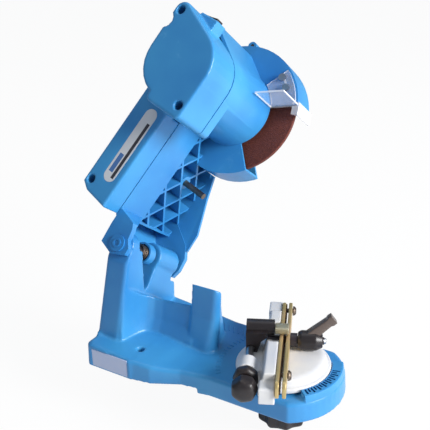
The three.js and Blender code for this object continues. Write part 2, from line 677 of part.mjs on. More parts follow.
function armHousing() {
  const boxOuter = prism('y', armOutline(0), arm.seam, arm.inner + arm.wall);
  const boxInner = prism('y', armOutline(arm.wall), arm.seam - overrun, arm.inner);
  const tubeOuter = join(
    motorForm(motor.seam, lobeEnd, 0, hump),
    humpForm(motor.seam, motor.front + guard.wall, 0, hump),
    rod('y', motor.radius, motor.seam, motor.front + guard.wall, motor.x, motor.z, 56, motor.frontRadius),
  );
  const tubeInner = join(
    motorForm(motor.seam - overrun, lobeEnd - motor.wall, motor.wall, hump),
    humpForm(motor.seam, motor.front - motorFrontWall.thick, motor.wall, hump),
    rod('y', motor.radius - motor.wall, motor.seam, motor.front - motorFrontWall.thick, motor.x, motor.z,
      48, motor.frontRadius - motor.wall),
  );
  const back = block(arm.foot, arm.end, arm.inner, arm.right, arm.top - rib.back, arm.top);
  const far = prism('y', farWallOutline(), arm.right - farWall.thick, arm.right);
  const foot = block(arm.foot, arm.foot + rib.thick, arm.inner, arm.right, arm.bottom, arm.top);
  const leftEar = prism('y', polygon(leftEarEdge), arm.seam, arm.seam + ear.thick);
  const leftBoss = join(
    rod('y', ear.boss, arm.seam - ear.bossHigh, arm.seam + overrun),
    tube('y', ear.ring, ear.ring - ear.ringWall, arm.seam - ear.bossHigh - ear.ringHigh, arm.seam),
  );
  const rightEar = prism('y', polygon(rightEarEdge), arm.right - ear.right, arm.right + ear.bossHigh);
  const neckFront = prism('y', polygon(leftEarEdge), arm.seam + arm.wall, arm.inner)
    .intersect(prism('x', polygon(brace.slope), brace.from, brace.to));
  const seat = rod('y', bearing.outer + bearing.seat, motor.front - motorFrontWall.thick - bearing.wide,
    motor.front, motor.x, motor.z);
  const seatCut = rod('y', bearing.outer + gap, motor.front - motorFrontWall.thick - bearing.wide - overrun,
    motor.front - motorFrontWall.thick, motor.x, motor.z);
  const neck = rod('y', shaft.radius + guard.clear, motor.front - motorFrontWall.thick - overrun,
    motor.front + guard.wall + overrun, motor.x, motor.z);
  const screwPost = rod('z', depthScrew.boss, rib.depthFrom, arm.top, depthScrew.x, depthScrew.y, 20);
  const hoodWall = prism('y', polygon([...hood.outer, ...hood.inner]), hood.from,
    arm.right - ear.right / 2);
  let housing = join(boxOuter, tubeOuter, back, far, foot, ribGrid(), leftEar, leftBoss, rightEar,
    screwPost, hoodWall, neckFront, guardBody());
  housing = cut(housing, boxInner, tubeInner);
  const posts = screwBosses((s) => (s.face === arm.left ? arm.seam : motor.seam), (s) => s.deep)
    .map((solid) => solid.intersect(join(boxOuter, tubeOuter)));
  housing = join(housing, seat, ...posts);
  const wheelRoom = join(
    rod('y', wheel.radius + guard.clear, guardWall.near + guard.wall, guardWall.far + overrun,
      motor.x, motor.z, 56),
    rod('y', guard.radius + gap * 2, guardWall.far, arm.right + overrun, motor.x, motor.z, 56),
  );
  const openRoom = sector(guard.radius + overrun, openFrom, openTo, motor.front + gap,
    guardWall.far + overrun);
  const pilot = coverScrews.map((s) => rod('y', screwHole.radius + gap / 2, s.head, s.deep - arm.wall,
    s.x, s.z, 12));
  const bolts = boltPlaces().map(([x, z], i) => rod('y', coverBolts.hole + gap / 2,
    coverBolts.from[i] - overrun, guardWall.far + overrun, x, z, 12));
  const pinBore = rod('y', hinge.pin + gap, pinEnds.left - gap, pinEnds.right + overrun);
  const lugRoom = rod('y', hinge.lug + guard.clear, arm.seam + ear.thick, arm.right - ear.right, 0, 0);
  const depthBore = rod('z', depthScrew.radius + gap, rib.depthFrom - overrun, arm.top + overrun,
    depthScrew.x, depthScrew.y, 16);
  const shieldBolts = shieldScrews.map(([x, z]) => rod('y', screwHole.radius + gap / 2,
    guardWall.near - overrun, guardWall.near + guard.wall + overrun, x, z, 12));
  const cableBore = rod('z', gland.radius + gap, arm.top - arm.wall - overrun, arm.top + overrun,
    gland.x, gland.y, 16);
  return cut(housing, seatCut, neck, wheelRoom, openRoom, ...pilot, ...bolts, pinBore, lugRoom,
    depthBore, ...shieldBolts, cableBore);
}

const shieldPlace = { radius: 49, turnsDeg: [-28, -40] };
const shieldScrews = shieldPlace.turnsDeg.map((degrees) => {
  const turn = THREE.MathUtils.degToRad(degrees);
  return [motor.x + shieldPlace.radius * Math.cos(turn), motor.z + shieldPlace.radius * Math.sin(turn)];
});
const gland = { x: 34, y: -16, radius: 5, flange: 7.5, high: 6, thick: 2, below: 8, bore: 3 };
const rocker = {
  x: 184, face: 187, y: -59, z: 26.5, half: 7, long: 9, bedHalf: 4.6, bedLong: 6.8, rise: 2.6,
};

place(armFrame, 'arm_housing', armHousing(), bluePlastic);

// Arm cover: the flat side with the plain plate, and the motor's end cap

const typePlate = { x0: 36, x1: 104, z: 29.2, half: 6, thick: 0.6, bevel: 1.6 };

function armCover() {
  const outer = join(
    prism('y', armOutline(0), arm.left, arm.inner, capEdge).intersect(
      block(-overrun, arm.end + overrun, arm.left - overrun, arm.seam - gap, -arm.top, arm.top + overrun),
    ),
    motorForm(motor.cap, arm.inner, 0, topEar, capEdge).intersect(
      block(lobe.x0 - overrun, motor.x + motor.radius * 2, motor.cap - overrun, motor.seam - gap,
        -motor.radius, motor.radius * 2),
    ),
  );
  const inner = join(
    prism('y', armOutline(arm.wall), arm.left + arm.wall, arm.seam + overrun),
    motorForm(motor.cap + motor.wall, motor.seam + overrun, motor.wall, topEar),
  );
  const neck = rod('y', topEar.neckRadius, motor.cap - overrun, motor.seam + overrun, topEar.neckX,
    arm.top + topEar.neckRise, 20);
  const tubeRoom = motorForm(motor.seam - gap, arm.inner, -gap, hump);
  const seamOf = (s) => (s.face === arm.left ? arm.seam : motor.seam);
  const posts = join(...screwBosses((s) => s.face, (s) => seamOf(s) - gap)).intersect(outer);
  const rearSeat = rod('y', bearing.outer + bearing.seat, motor.cap + motor.wall / 2,
    motor.cap + motor.wall + bearing.wide, motor.x, motor.z);
  const rearCut = rod('y', bearing.outer + gap, motor.cap + motor.wall,
    motor.cap + motor.wall + bearing.wide + overrun, motor.x, motor.z);
  const wells = coverScrews.map((s) => (
    rod('y', screwHole.head + gap, s.face - overrun, s.head, s.x, s.z, 18)
  ));
  const shanks = coverScrews.map((s) => rod('y', screwHole.radius + gap / 2, s.head - overrun,
    motor.front, s.x, s.z, 12));
  const bed = prism('y', roundedBox(typePlate.x0 - gap, typePlate.x1 + gap, typePlate.z - typePlate.half
    - gap, typePlate.z + typePlate.half + gap, typePlate.half), arm.left - overrun,
  arm.left + typePlate.thick);
  const bezel = block(motor.x + motor.radius * 0.7, rocker.face, rocker.y - rocker.half,
    rocker.y + rocker.half, rocker.z - rocker.long, rocker.z + rocker.long);
  const rockerBed = block(rocker.x - rocker.rise, rocker.face + overrun, rocker.y - rocker.bedHalf,
    rocker.y + rocker.bedHalf, rocker.z - rocker.bedLong, rocker.z + rocker.bedLong);
  let cover = cut(join(cut(join(outer, bezel), inner), posts, rearSeat), rearCut, neck, tubeRoom);
  cover = cut(cover, ...wells, ...shanks, bed, rockerBed);
  return cover;
}
const capEdge = 1.6;

place(armFrame, 'arm_cover', armCover(), bluePlastic);
place(
  armFrame,
  'type_plate',
  prism('y', roundedBox(typePlate.x0, typePlate.x1, typePlate.z - typePlate.half,
    typePlate.z + typePlate.half, typePlate.half * 0.98), arm.left, arm.left + typePlate.thick - gap),
  plate,
);
for (const s of coverScrews) {
  const headHigh = 2.4;
  place(
    armFrame,
    s.name,
    join(
      rod('y', screwHole.head, s.head - headHigh, s.head - gap, s.x, s.z, 16),
      rod('y', screwHole.radius, s.head - gap * 2, s.deep - arm.wall - gap, s.x, s.z, 12),
    ),
    darkSteel,
  );
}

// Small pieces on the arm

function rockerBody() {
  const half = rocker.bedHalf - gap;
  const long = rocker.bedLong - gap * 3;
  const low = rocker.x - rocker.rise + gap * 3;
  return prism('y', polygon([
    [low, rocker.z - long],
    [rocker.face + rocker.rise * 0.8, rocker.z - long],
    [rocker.face + rocker.rise * 0.35, rocker.z],
    [rocker.face + rocker.rise * 0.1, rocker.z + long],
    [low, rocker.z + long],
  ]), rocker.y - half, rocker.y + half);
}
place(armFrame, 'power_rocker', rockerBody(), blackPlastic);
place(
  armFrame,
  'cable_gland',
  cut(
    join(
      rod('z', gland.radius, arm.top - arm.wall - gland.below, arm.top + gap, gland.x, gland.y, 16),
      rod('z', gland.flange, arm.top + gap, arm.top + gland.thick, gland.x, gland.y, 20),
      rod('z', gland.radius, arm.top + gland.thick / 2, arm.top + gland.high, gland.x, gland.y, 16),
    ),
    rod('z', gland.bore, arm.top - arm.wall - gland.below - overrun, arm.top + gland.high + overrun,
      gland.x, gland.y, 16),
  ),
  blackPlastic,
);

// Clear shield by the wheel: a flange on the guard, a panel across the arm and an apron by the rim
const shield = {
  thick: 1.5, flangeFrom: -58, flangeTo: -24, inner: 34.2, outer: 56, y0: -12, apronIn: 58.6,
  apronTo: 47, apronFromDeg: -67,
};

function eyeShield() {
  const y1 = guardWall.near - gap;
  const from = THREE.MathUtils.degToRad(shield.flangeFrom);
  const to = THREE.MathUtils.degToRad(shield.flangeTo);
  const ring = (outer, inner, a, b, y, w) => cut(sector(outer, a, b, y, w),
    rod('y', inner, y - overrun, w + overrun, motor.x, motor.z, 48));
  const panelTurn = shield.thick / shield.apronIn;
  const flange = ring(shield.outer, shield.inner, from - panelTurn / 2, to, y1 - shield.thick, y1);
  const panel = block(shield.inner, shield.apronIn + shield.thick / 2, shield.y0, y1, -shield.thick, 0)
    .rotate([0, -shield.flangeFrom, 0])
    .translate([motor.x, 0, motor.z]);
  const apronFrom = THREE.MathUtils.degToRad(shield.apronFromDeg);
  const apron = ring(shield.apronIn + shield.thick, shield.apronIn, apronFrom, from + panelTurn,
    y1 - shield.thick * 2, shield.apronTo);
  const link = ring(shield.apronIn + shield.thick, shield.outer - shield.thick, apronFrom,
    from + panelTurn, y1 - shield.thick * 2, y1);
  const whole = join(flange, panel, apron, link);
  return cut(whole, ...shieldScrews.map(([x, z]) => rod('y', screwHole.radius + gap / 2,
    y1 - shield.thick * 2, y1 + overrun, x, z, 12)));
}
place(armFrame, 'eye_shield', eyeShield(), clearPlastic);
const shieldHead = { radius: 3.2, high: 2 };
shieldScrews.forEach(([x, z], i) => place(
  armFrame,
  `shield_screw_${i + 1}`,
  join(
    rod('y', shieldHead.radius, guardWall.near - gap * 2 - shield.thick - shieldHead.high,
      guardWall.near - gap * 2 - shield.thick, x, z, 14),
    rod('y', screwHole.radius, guardWall.near - gap * 3 - shield.thick, guardWall.near + guard.wall,
      x, z, 12),
  ),
  darkSteel,
));

// Cover on the far side of the wheel, and its screws
const cover = { thick: 2.4, rim: 1.4 };

function wheelCover() {
  const y0 = guardWall.far + gap;
  const disc = rod('y', guard.radius, y0, y0 + cover.thick, motor.x, motor.z, 56);
  const hub = rod('y', motor.radius / 2, y0, y0 + cover.thick + cover.rim, motor.x, motor.z, 32);
  const ears = boltPlaces().map(([x, z]) => rod('y', coverBolts.boss, y0, y0 + cover.thick, x, z, 16));
  return cut(
    join(disc, hub, ...ears),
    sector(guard.radius + overrun, openFrom, openTo, y0 - overrun, y0 + cover.thick * 2),
    ...boltPlaces().map(([x, z]) => rod('y', coverBolts.hole + gap / 2, y0 - overrun,
      y0 + cover.thick + overrun, x, z, 12)),
  );
}
place(armFrame, 'wheel_cover', wheelCover(), bluePlastic);
boltPlaces().forEach(([x, z], i) => place(
  armFrame,
  `guard_screw_${i + 1}`,
  join(
    rod('y', coverBolts.hole, coverBolts.from[i] + gap, guardWall.far + cover.thick + gap * 3, x, z, 12),
    rod('y', coverBolts.hole * 1.9, guardWall.far + cover.thick + gap * 2,
      guardWall.far + cover.thick + cover.rim + gap * 2, x, z, 14),
  ),
  darkSteel,
));

// Motor inside the tube
const stator = { outer: 28.1, inner: 15.8, from: -30, to: 2, foot: 8 };
const rotor = { radius: 15, from: -29, to: 1 };
const collector = { radius: 9.5, from: -50, to: -38 };
const brush = { from: -49.5, to: -39.5, half: 4.5, inner: 10.2, outer: 28.4 };
const fan = { radius: 24, hub: 9, from: 4, to: 9, blades: 8, blade: 1.6 };
const flange = { inner: 16, outer: 16, boss: 11.2, innerFrom: 25.4, outerTo: 33.6 };
const nut = { radius: 6.6, from: 33.9, to: 39.6 };

function statorBody() {
  const ring = tube('y', stator.outer, stator.inner + stator.foot / 2, stator.from, stator.to, motor.x,
    motor.z, 36);
  const pole = block(motor.x - stator.foot, motor.x + stator.foot, stator.from, stator.to,
    motor.z + stator.outer - stator.foot * 1.5, motor.z + stator.outer - 1);
  const facing = pole.mirror([0, 0, 1]).translate([0, 0, 2 * motor.z]);
  return cut(join(ring, pole, facing), rod('y', stator.inner, stator.from - overrun, stator.to + overrun,
    motor.x, motor.z, 36));
}
const onShaft = (outer, from, to, sides = 32) => tube('y', outer, shaft.radius + gap, from, to, motor.x,
  motor.z, sides);

place(armFrame, 'motor_stator', statorBody(), lamination);
place(
  armFrame,
  'bearing_front',
  tube('y', bearing.outer, shaft.radius + gap, motor.front - motorFrontWall.thick - bearing.wide,
    motor.front - motorFrontWall.thick - gap, motor.x, motor.z),
  steel,
);
place(
  armFrame,
  'bearing_rear',
  tube('y', bearing.outer, shaft.radius + gap, motor.cap + motor.wall + gap,
    motor.cap + motor.wall + bearing.wide, motor.x, motor.z),
  steel,
);
[1, -1].forEach((side, i) => place(
  armFrame,
  `brush_holder_${i + 1}`,
  block(
    motor.x + (side > 0 ? brush.inner : -brush.outer),
    motor.x + (side > 0 ? brush.outer : -brush.inner),
    brush.from,
    brush.to,
    motor.z - brush.half,
    motor.z + brush.half,
  ),
  blackPlastic,
));
place(armFrame, 'motor_shaft', rod('y', shaft.radius, shaft.from, shaft.to, motor.x, motor.z), steel);
place(armFrame, 'rotor_core', onShaft(rotor.radius, rotor.from, rotor.to), lamination);
place(armFrame, 'commutator', onShaft(collector.radius, collector.from, collector.to), copper);

function fanBody() {
  const hub = onShaft(fan.hub, fan.from, fan.to);
  const blades = [];
  for (let i = 0; i < fan.blades; i += 1) {
    blades.push(block(fan.hub - 1, fan.radius, fan.from, fan.to, -fan.blade / 2, fan.blade / 2)
      .rotate([0, 360 * i / fan.blades, 0])
      .translate([motor.x, 0, motor.z]));
  }
  return join(hub, ...blades);
}
place(armFrame, 'cooling_fan', fanBody(), blackPlastic);

const wheelLow = wheel.y - wheel.thick / 2;
const wheelHigh = wheel.y + wheel.thick / 2;
place(
  armFrame,
  'flange_inner',
  join(
    onShaft(flange.inner, flange.innerFrom, wheelLow - gap),
    onShaft(flange.boss, flange.innerFrom, wheelHigh - gap),
  ),
  steel,
);
place(
  armFrame,
  'grinding_wheel',
  tube('y', wheel.radius, wheel.bore, wheelLow, wheelHigh, motor.x, motor.z, 64),
  grit,
);
place(armFrame, 'flange_outer', onShaft(flange.outer, wheelHigh + gap, flange.outerTo), steel);
place(
  armFrame,
  'spindle_nut',
  cut(
    rod('y', nut.radius, nut.from, nut.to, motor.x, motor.z, 6),
    rod('y', shaft.radius + gap, nut.from - overrun, nut.to + overrun, motor.x, motor.z, 24),
  ),
  darkSteel,
);

// Depth stop screw with its lock nut
const lockNut = { radius: 5, high: 4 };
const screwHead = { radius: 5.2, high: 4, top: 70.6 };
place(
  armFrame,
  'depth_screw',
  join(
    rod('z', depthScrew.radius, depthScrew.tip, screwHead.top, depthScrew.x, depthScrew.y, 18),
    rod('z', screwHead.radius, screwHead.top - screwHead.high, screwHead.top, depthScrew.x,
      depthScrew.y, 6),
  ),
  darkSteel,
);
place(
  armFrame,
  'depth_lock_nut',
  cut(
    rod('z', lockNut.radius, arm.top + gap, arm.top + gap + lockNut.high, depthScrew.x, depthScrew.y, 6),
    rod('z', depthScrew.radius + gap, arm.top, arm.top + lockNut.high * 2, depthScrew.x,
      depthScrew.y, 16),
  ),
  darkSteel,
);

// Vise: the casting with its turntable, end blocks and screw barrel

const clamp = { y: 10, z: 31.5, stud: 3, to: 31.2, boltTo: 32.4, boltRadius: 3.4 };
const farBlock = { x0: -14, x1: -3.5, y0: 42, y1: 60, z0: 18, z1: 36.6 };
const nearBlock = { x0: -15.4, x1: -3.5, y0: -58, y1: -46, z0: 18.5, z1: 32 };
const upright2 = { backLow: -17, backHigh: -12, low: 18, saddle: 33, saddle0: -3, saddle1: 25 };
const barrel = { x: -26, z: 26.6, radius: 7.8, y0: -31, y1: -17, bridge0: -30 };
const adjust = { radius: 3, y0: -56, y1: 14 };
const bracket = {
  y: 12, z: 41, radius: 6.2, x0: -29.4, x1: -7.4, legNear: 10, legFar: 4, legHalf: 5, pivot: 2.5, low: 23.7,
};
const pawl = { x0: -6.8, x1: 3.8, y0: 1.2, y1: 13.6, z0: 38.6, z1: 44.6 };
const domes = [{ name: 'rail_screw_far', y: 55 }, { name: 'rail_screw_near', y: -38 }];
const dome = { z: 31, radius: 4, shank: 1.9, rise: 2.6, deep: -12 };
const table = { plateau: 30, plateauTop: 23.4 };

function railPlate(x0, x1) {
  const shape = new THREE.Shape();
  const middle = (rail.low + rail.high) / 2;
  const radius = (rail.high - rail.low) / 2 * 0.8;
  shape.absarc(rail.half - radius, rail.high - radius, radius, 0, Math.PI / 2, false);
  shape.absarc(radius - rail.half, rail.high - radius, radius, Math.PI / 2, Math.PI, false);
  shape.lineTo(-rail.half, middle - radius);
  shape.lineTo(radius - rail.half, rail.low);
  shape.lineTo(rail.half - radius, rail.low);
  shape.lineTo(rail.half, middle - radius);
  shape.closePath();
  return prism('x', shape, x0, x1, 0.5);
}

const fixedRail = { x0: rail.face - rail.thick, x1: rail.face };
const movingRail = { x0: rail.face + rail.slot, x1: rail.face + rail.slot + rail.thick };
const railHole = 2.1;
const railHoles = () => [
  ...domes.map((d) => rod('x', railHole, fixedRail.x0 - overrun, movingRail.x1 + overrun, d.y, dome.z, 14)),
  rod('x', clamp.stud + gap, fixedRail.x0 - overrun, movingRail.x1 + overrun, clamp.y, clamp.z, 20),
];

function viseCasting() {
  const { low } = turntable;
  const ring = rod('z', turntable.radius, low, low + turntable.ring - 1, 0, 0, 48);
  const edge = rod('z', turntable.radius, low + turntable.ring - 1, low + turntable.ring, 0, 0, 48,
    turntable.radius - 1);
  const step = rod('z', turntable.step, low, turntable.top, 0, 0, 48, turntable.step - 0.8);
  const plateau = rod('z', table.plateau, low, table.plateauTop, 0, 0, 48, table.plateau - 1.2);
  const tip = fixedRail.x0 - gap;
  const wall = prism('y', polygon([
    [upright2.backLow, upright2.low],
    [tip, upright2.low],
    [tip, rail.high],
    [upright2.backHigh, rail.high],
  ]), nearBlock.y1 - 1, farBlock.y0 + 1);
  const far = block(farBlock.x0, tip, farBlock.y0, farBlock.y1, farBlock.z0, farBlock.z1);
  const near = block(nearBlock.x0, tip, nearBlock.y0, nearBlock.y1, nearBlock.z0, nearBlock.z1);
  const spine = block(upright2.backLow, tip, -turntable.step, turntable.step, low + 1, upright2.low + 1);
  const saddle = block(upright2.backLow - overrun, tip + overrun, upright2.saddle0, upright2.saddle1,
    upright2.saddle, rail.high + overrun);
  const sleeve = rod('y', barrel.radius, barrel.y0, barrel.y1, barrel.x, barrel.z, 28);
  const bridge = block(barrel.x - 2, upright2.backLow + 1, barrel.bridge0, barrel.y1 - 0.5,
    turntable.top - 3, barrel.z + 2);
  const guideFoot = block(barrel.x - overrun, upright2.backLow, upright2.saddle0 + 1,
    bracket.y + bracket.legHalf * 3, low + turntable.ring / 2, turntable.top - 2.6);
  const flare = [farBlock, nearBlock].map((b) => {
    const side = Math.sign(b.y0);
    const inner = side > 0 ? b.y0 : b.y1;
    const outer = side > 0 ? b.y1 : b.y0;
    const gusset = polygon([
      [outer, b.z0 + 1],
      [inner - side * 16, low + 1],
      [inner - side * 22, low + 1],
      [inner - side * 22, b.z0 + 1],
    ]);
    return prism('x', gusset, b.x0 + 1, tip);
  });
  let casting = join(ring, edge, step, plateau, wall, far, near, spine, sleeve, bridge, guideFoot, ...flare);
  casting = cut(
    casting,
    saddle,
    rod('y', adjust.radius + gap, adjust.y0, barrel.y1 + overrun, barrel.x, barrel.z, 20),
    rod('z', swivel.bolt + gap, low - overrun, low + turntable.ring, 0, 0, 24),
    rod('x', clamp.stud + gap, upright2.backLow - overrun, tip + overrun, clamp.y, clamp.z, 20),
    ...domes.map((d) => rod('x', dome.shank + gap / 2, dome.deep - overrun, tip + overrun, d.y, dome.z, 14)),
  );
  return casting;
}
place(viseFrame, 'vise_casting', viseCasting(), whiteCasting);
place(viseFrame, 'fixed_rail', cut(railPlate(fixedRail.x0, fixedRail.x1), ...railHoles()), zincYellow);
place(
  viseFrame,
  'clamp_rail',
  cut(railPlate(movingRail.x0, movingRail.x1), ...railHoles()),
  zincYellow,
);

for (const d of domes) {
  place(
    viseFrame,
    d.name,
    join(
      rod('x', dome.shank, dome.deep, movingRail.x1 + 1, d.y, dome.z, 14),
      rod('x', dome.radius, movingRail.x1 + 0.6, movingRail.x1 + 1.4, d.y, dome.z, 20),
      rod('x', dome.radius, movingRail.x1 + 1.2, movingRail.x1 + dome.rise, d.y, dome.z, 20,
        dome.radius * 0.6),
    ),
    darkSteel,
  );
}

// Clamp: stud, sleeve, lever and end bolt
const sleeve = { x0: movingRail.x1 + gap, x1: 10.4, outer: 5.4 };
const leverGrip = { radius: 4.2, length: 16, rise: 0.72, lean: 0.26, back: 0.2, out: 2.6, up: 8.4 };
const hub = { x0: 10.8, x1: 28.6, radius: 7.7 };
place(
  viseFrame,
  'clamp_stud',
  join(
    rod('x', clamp.stud, upright2.backHigh - 1, clamp.to, clamp.y, clamp.z, 20),
  ),
  steel,
);
place(
  viseFrame,
  'clamp_sleeve',
  tube('x', sleeve.outer, clamp.stud + gap, sleeve.x0, sleeve.x1, clamp.y, clamp.z),
  darkSteel,
);

function clampLever() {
  const body = rod('x', hub.radius, hub.x0, hub.x1, clamp.y, clamp.z);
  const grip = new THREE.CapsuleGeometry(leverGrip.radius, leverGrip.length, 6, 14);
  grip.rotateZ(-Math.PI / 2);
  grip.rotateY(-leverGrip.rise);
  grip.rotateX(-leverGrip.lean);
  grip.translate(hub.x1 - leverGrip.back, clamp.y + leverGrip.out, clamp.z + leverGrip.up);
  return cut(
    join(body, toSolid(grip)),
    rod('x', clamp.stud + gap, hub.x0 - overrun, hub.x1 + overrun, clamp.y, clamp.z, 20),
    rod('x', clamp.boltRadius * 1.6 + gap, hub.x1, clamp.boltTo + overrun, clamp.y, clamp.z, 20),
  );
}
place(viseFrame, 'clamp_lever', clampLever(), blackPlastic);
place(
  viseFrame,
  'clamp_end_nut',
  cut(
    rod('x', clamp.boltRadius * 1.6, hub.x1 + gap, clamp.boltTo, clamp.y, clamp.z, 6),
    rod('x', clamp.stud + gap, hub.x1, clamp.to + gap, clamp.y, clamp.z, 16),
  ),
  darkSteel,
);

// Chain stop: a bracket on the adjusting screw, with a pawl that lifts
function stopBracket() {
  const cylinder = rod('x', bracket.radius, bracket.x0, bracket.x1, bracket.y, bracket.z);
  const leg = prism('y', polygon([
    [bracket.x0, bracket.low],
    [-20.8, bracket.low],
    [-17.6, upright2.saddle + gap],
    [-13, bracket.z - 4],
    [-13, bracket.z],
    [bracket.x0, bracket.z],
  ]), bracket.y - bracket.legNear, bracket.y + bracket.legFar);
  return cut(
    join(cylinder, leg),
    rod('y', adjust.radius + gap, bracket.y - bracket.legNear - overrun,
      bracket.y + bracket.legFar + overrun, barrel.x, barrel.z, 20),
    rod('x', bracket.pivot + gap, bracket.x1 - 10, bracket.x1 + overrun, bracket.y, bracket.z, 18),
  );
}
place(viseFrame, 'stop_bracket', stopBracket(), blackPlastic);
place(
  viseFrame,
  'stop_pawl',
  join(
    block(pawl.x0, pawl.x1, pawl.y0, pawl.y1, pawl.z0, pawl.z1),
    rod('x', bracket.pivot, bracket.x1 - 8, pawl.x0 + 1, bracket.y, bracket.z, 18),
  ),
  paleBrass,
);

// Two knobs on the adjusting screw
function knobBody(radius, y0, y1, ridges, bore) {
  const core = rod('y', radius, y0, y1, barrel.x, barrel.z, 36);
  const grooves = [];
  for (let i = 0; i < ridges; i += 1) {
    const turn = 2 * Math.PI * i / ridges;
    grooves.push(rod('y', radius * 0.16, y0 - overrun, y1 + overrun,
      barrel.x + radius * 1.06 * Math.cos(turn), barrel.z + radius * 1.06 * Math.sin(turn), 10));
  }
  return cut(core, ...grooves, rod('y', bore, y0 - overrun, y1 + overrun, barrel.x, barrel.z, 20));
}
place(viseFrame, 'lock_knob', knobBody(10, -40, -31.4, 12, adjust.radius + gap), blackPlastic);
place(viseFrame, 'adjust_knob', knobBody(10, -58, -43.6, 14, adjust.radius + gap), blackPlastic);
place(viseFrame, 'adjust_screw', rod('y', adjust.radius, adjust.y0, adjust.y1 + 6, barrel.x, barrel.z, 20),
  steel);

// Turntable bolt, washer and the knob under the base
const under = { washer: 11, washerThick: 1.5, knob: 17, top: -8, bottom: -32 };
place(
  viseFrame,
  'swivel_bolt',
  rod('z', swivel.bolt, under.bottom + 4, base.frontTop + turntable.ring / 2, 0, 0, 20),
  steel,
);
place(
  viseFrame,
  'swivel_washer',
  tube('z', under.washer, swivel.bolt + gap, -base.lip - gap - under.washerThick, -base.lip - gap),
  steel,
);

function swivelKnob() {
  const body = rod('z', under.knob, under.bottom, under.top, 0, 0, 40, under.knob * 0.9);
  const flutes = [];
  for (let i = 0; i < 9; i += 1) {
    const turn = 2 * Math.PI * i / 9;
    flutes.push(rod('z', 3.4, under.bottom - overrun, under.top - 4, under.knob * 1.1 * Math.cos(turn),
      under.knob * 1.1 * Math.sin(turn), 14));
  }
  return cut(body, ...flutes, rod('z', swivel.bolt + gap, under.bottom + 3, under.top + overrun, 0, 0, 20));
}
place(viseFrame, 'swivel_knob', swivelKnob(), blackPlastic);

const root = new THREE.Group();
root.add(assembly, armFrame, viseFrame);

export default root;
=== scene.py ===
import json
import math

import bmesh
import bpy
import numpy as np
from mathutils import Matrix, Vector


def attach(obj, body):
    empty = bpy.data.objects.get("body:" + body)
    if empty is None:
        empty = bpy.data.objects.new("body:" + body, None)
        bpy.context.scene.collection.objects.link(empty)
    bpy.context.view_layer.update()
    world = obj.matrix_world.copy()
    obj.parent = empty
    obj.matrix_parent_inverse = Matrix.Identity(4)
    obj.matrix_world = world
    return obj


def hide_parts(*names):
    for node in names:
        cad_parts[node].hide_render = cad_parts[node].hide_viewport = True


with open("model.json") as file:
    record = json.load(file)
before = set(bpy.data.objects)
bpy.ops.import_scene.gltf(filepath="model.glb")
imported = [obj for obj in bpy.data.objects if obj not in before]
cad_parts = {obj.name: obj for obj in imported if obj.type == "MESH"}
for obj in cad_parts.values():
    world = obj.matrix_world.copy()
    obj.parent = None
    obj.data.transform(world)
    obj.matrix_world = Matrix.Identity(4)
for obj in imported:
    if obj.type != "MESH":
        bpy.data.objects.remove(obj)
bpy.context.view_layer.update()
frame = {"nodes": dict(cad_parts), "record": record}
scene = bpy.context.scene
mm = 0.001

# camera
view = {"focal": 833.28, "frame": 430, "sensor": 36.0, "pitch": 0.4188, "turn": 0.575, "roll": -0.0326,
        "place": (392.79, -487.77, 389.31), "clip": (0.01, 30)}


def makeCamera():
    # right, ahead and up from the turn, then pitch, then roll
    turn, pitch, roll = view["turn"], view["pitch"], view["roll"]
    level = Vector((math.cos(turn), math.sin(turn), 0))
    out = Vector((-math.sin(turn), math.cos(turn), 0))
    ahead = out * math.cos(pitch) - Vector((0, 0, math.sin(pitch)))
    top = out * math.sin(pitch) + Vector((0, 0, math.cos(pitch)))
    right = level * math.cos(roll) + top * math.sin(roll)
    up = top * math.cos(roll) - level * math.sin(roll)
    data = bpy.data.cameras.new("camera")
    data.sensor_width = view["sensor"]
    data.lens = view["focal"] / view["frame"] * view["sensor"]
    data.clip_start, data.clip_end = view["clip"]
    cam = bpy.data.objects.new("camera", data)
    scene.collection.objects.link(cam)
    turned = Matrix((right, up, -ahead)).transposed().to_4x4()
    cam.matrix_world = Matrix.Translation(Vector(view["place"]) * mm) @ turned
    scene.camera = cam
    return right, ahead


right, ahead = makeCamera()
print("camera placed")


# the pin's, the arm's and the vise's own directions in the machine frame
tilt, rise, viseTurn = math.radians(36), math.radians(69), math.radians(25)
pinAxis = np.array([0, math.cos(tilt), -math.sin(tilt)])
pinUp = np.array([0, math.sin(tilt), math.cos(tilt)])
armAxis = np.array([math.cos(rise), 0, 0]) + math.sin(rise) * pinUp
hingeAt, turntableAt = (0, 0, 81), (136, 0, 0)


# shader maths
class Wire:
    # a socket whose + - * / add Math nodes
    def __init__(self, tree, socket):
        self.tree = tree
        self.socket = socket

    def math(self, operation, *values):
        return addNode(self.tree, "ShaderNodeMath", {"operation": operation}, *values)[0]

    def __add__(self, other):
        return self.math("ADD", self, other)

    def __sub__(self, other):
        return self.math("SUBTRACT", self, other)

    def __rsub__(self, other):
        return self.math("SUBTRACT", other, self)

    def __mul__(self, other):
        return self.math("MULTIPLY", self, other)

    __radd__ = __add__
    __rmul__ = __mul__

    def ramp(self, low, high):
        # 0 below low, 1 above high, straight between
        return addNode(self.tree, "ShaderNodeMapRange", {"clamp": True}, self, low, high)[0]


def setSocket(tree, socket, value):
    # a wire is linked, a plain value is typed in
    if isinstance(value, Wire):
        tree.links.new(value.socket, socket)
    elif socket.type == "RGBA" and len(value) == 3:
        socket.default_value = (*value, 1)
    else:
        socket.default_value = value


def addNode(tree, kind, settings, *values, **named):
    # settings first, then the sockets by place or by name; gives the outputs
    made = tree.nodes.new(kind)
    for key, value in settings.items():
        setattr(made, key, value)
    for socket, value in zip(made.inputs, values):
        if value is not None:
            setSocket(tree, socket, value)
    for name, value in named.items():
        setSocket(tree, made.inputs[name.replace("_", " ")], value)
    return [Wire(tree, s) for s in made.outputs]


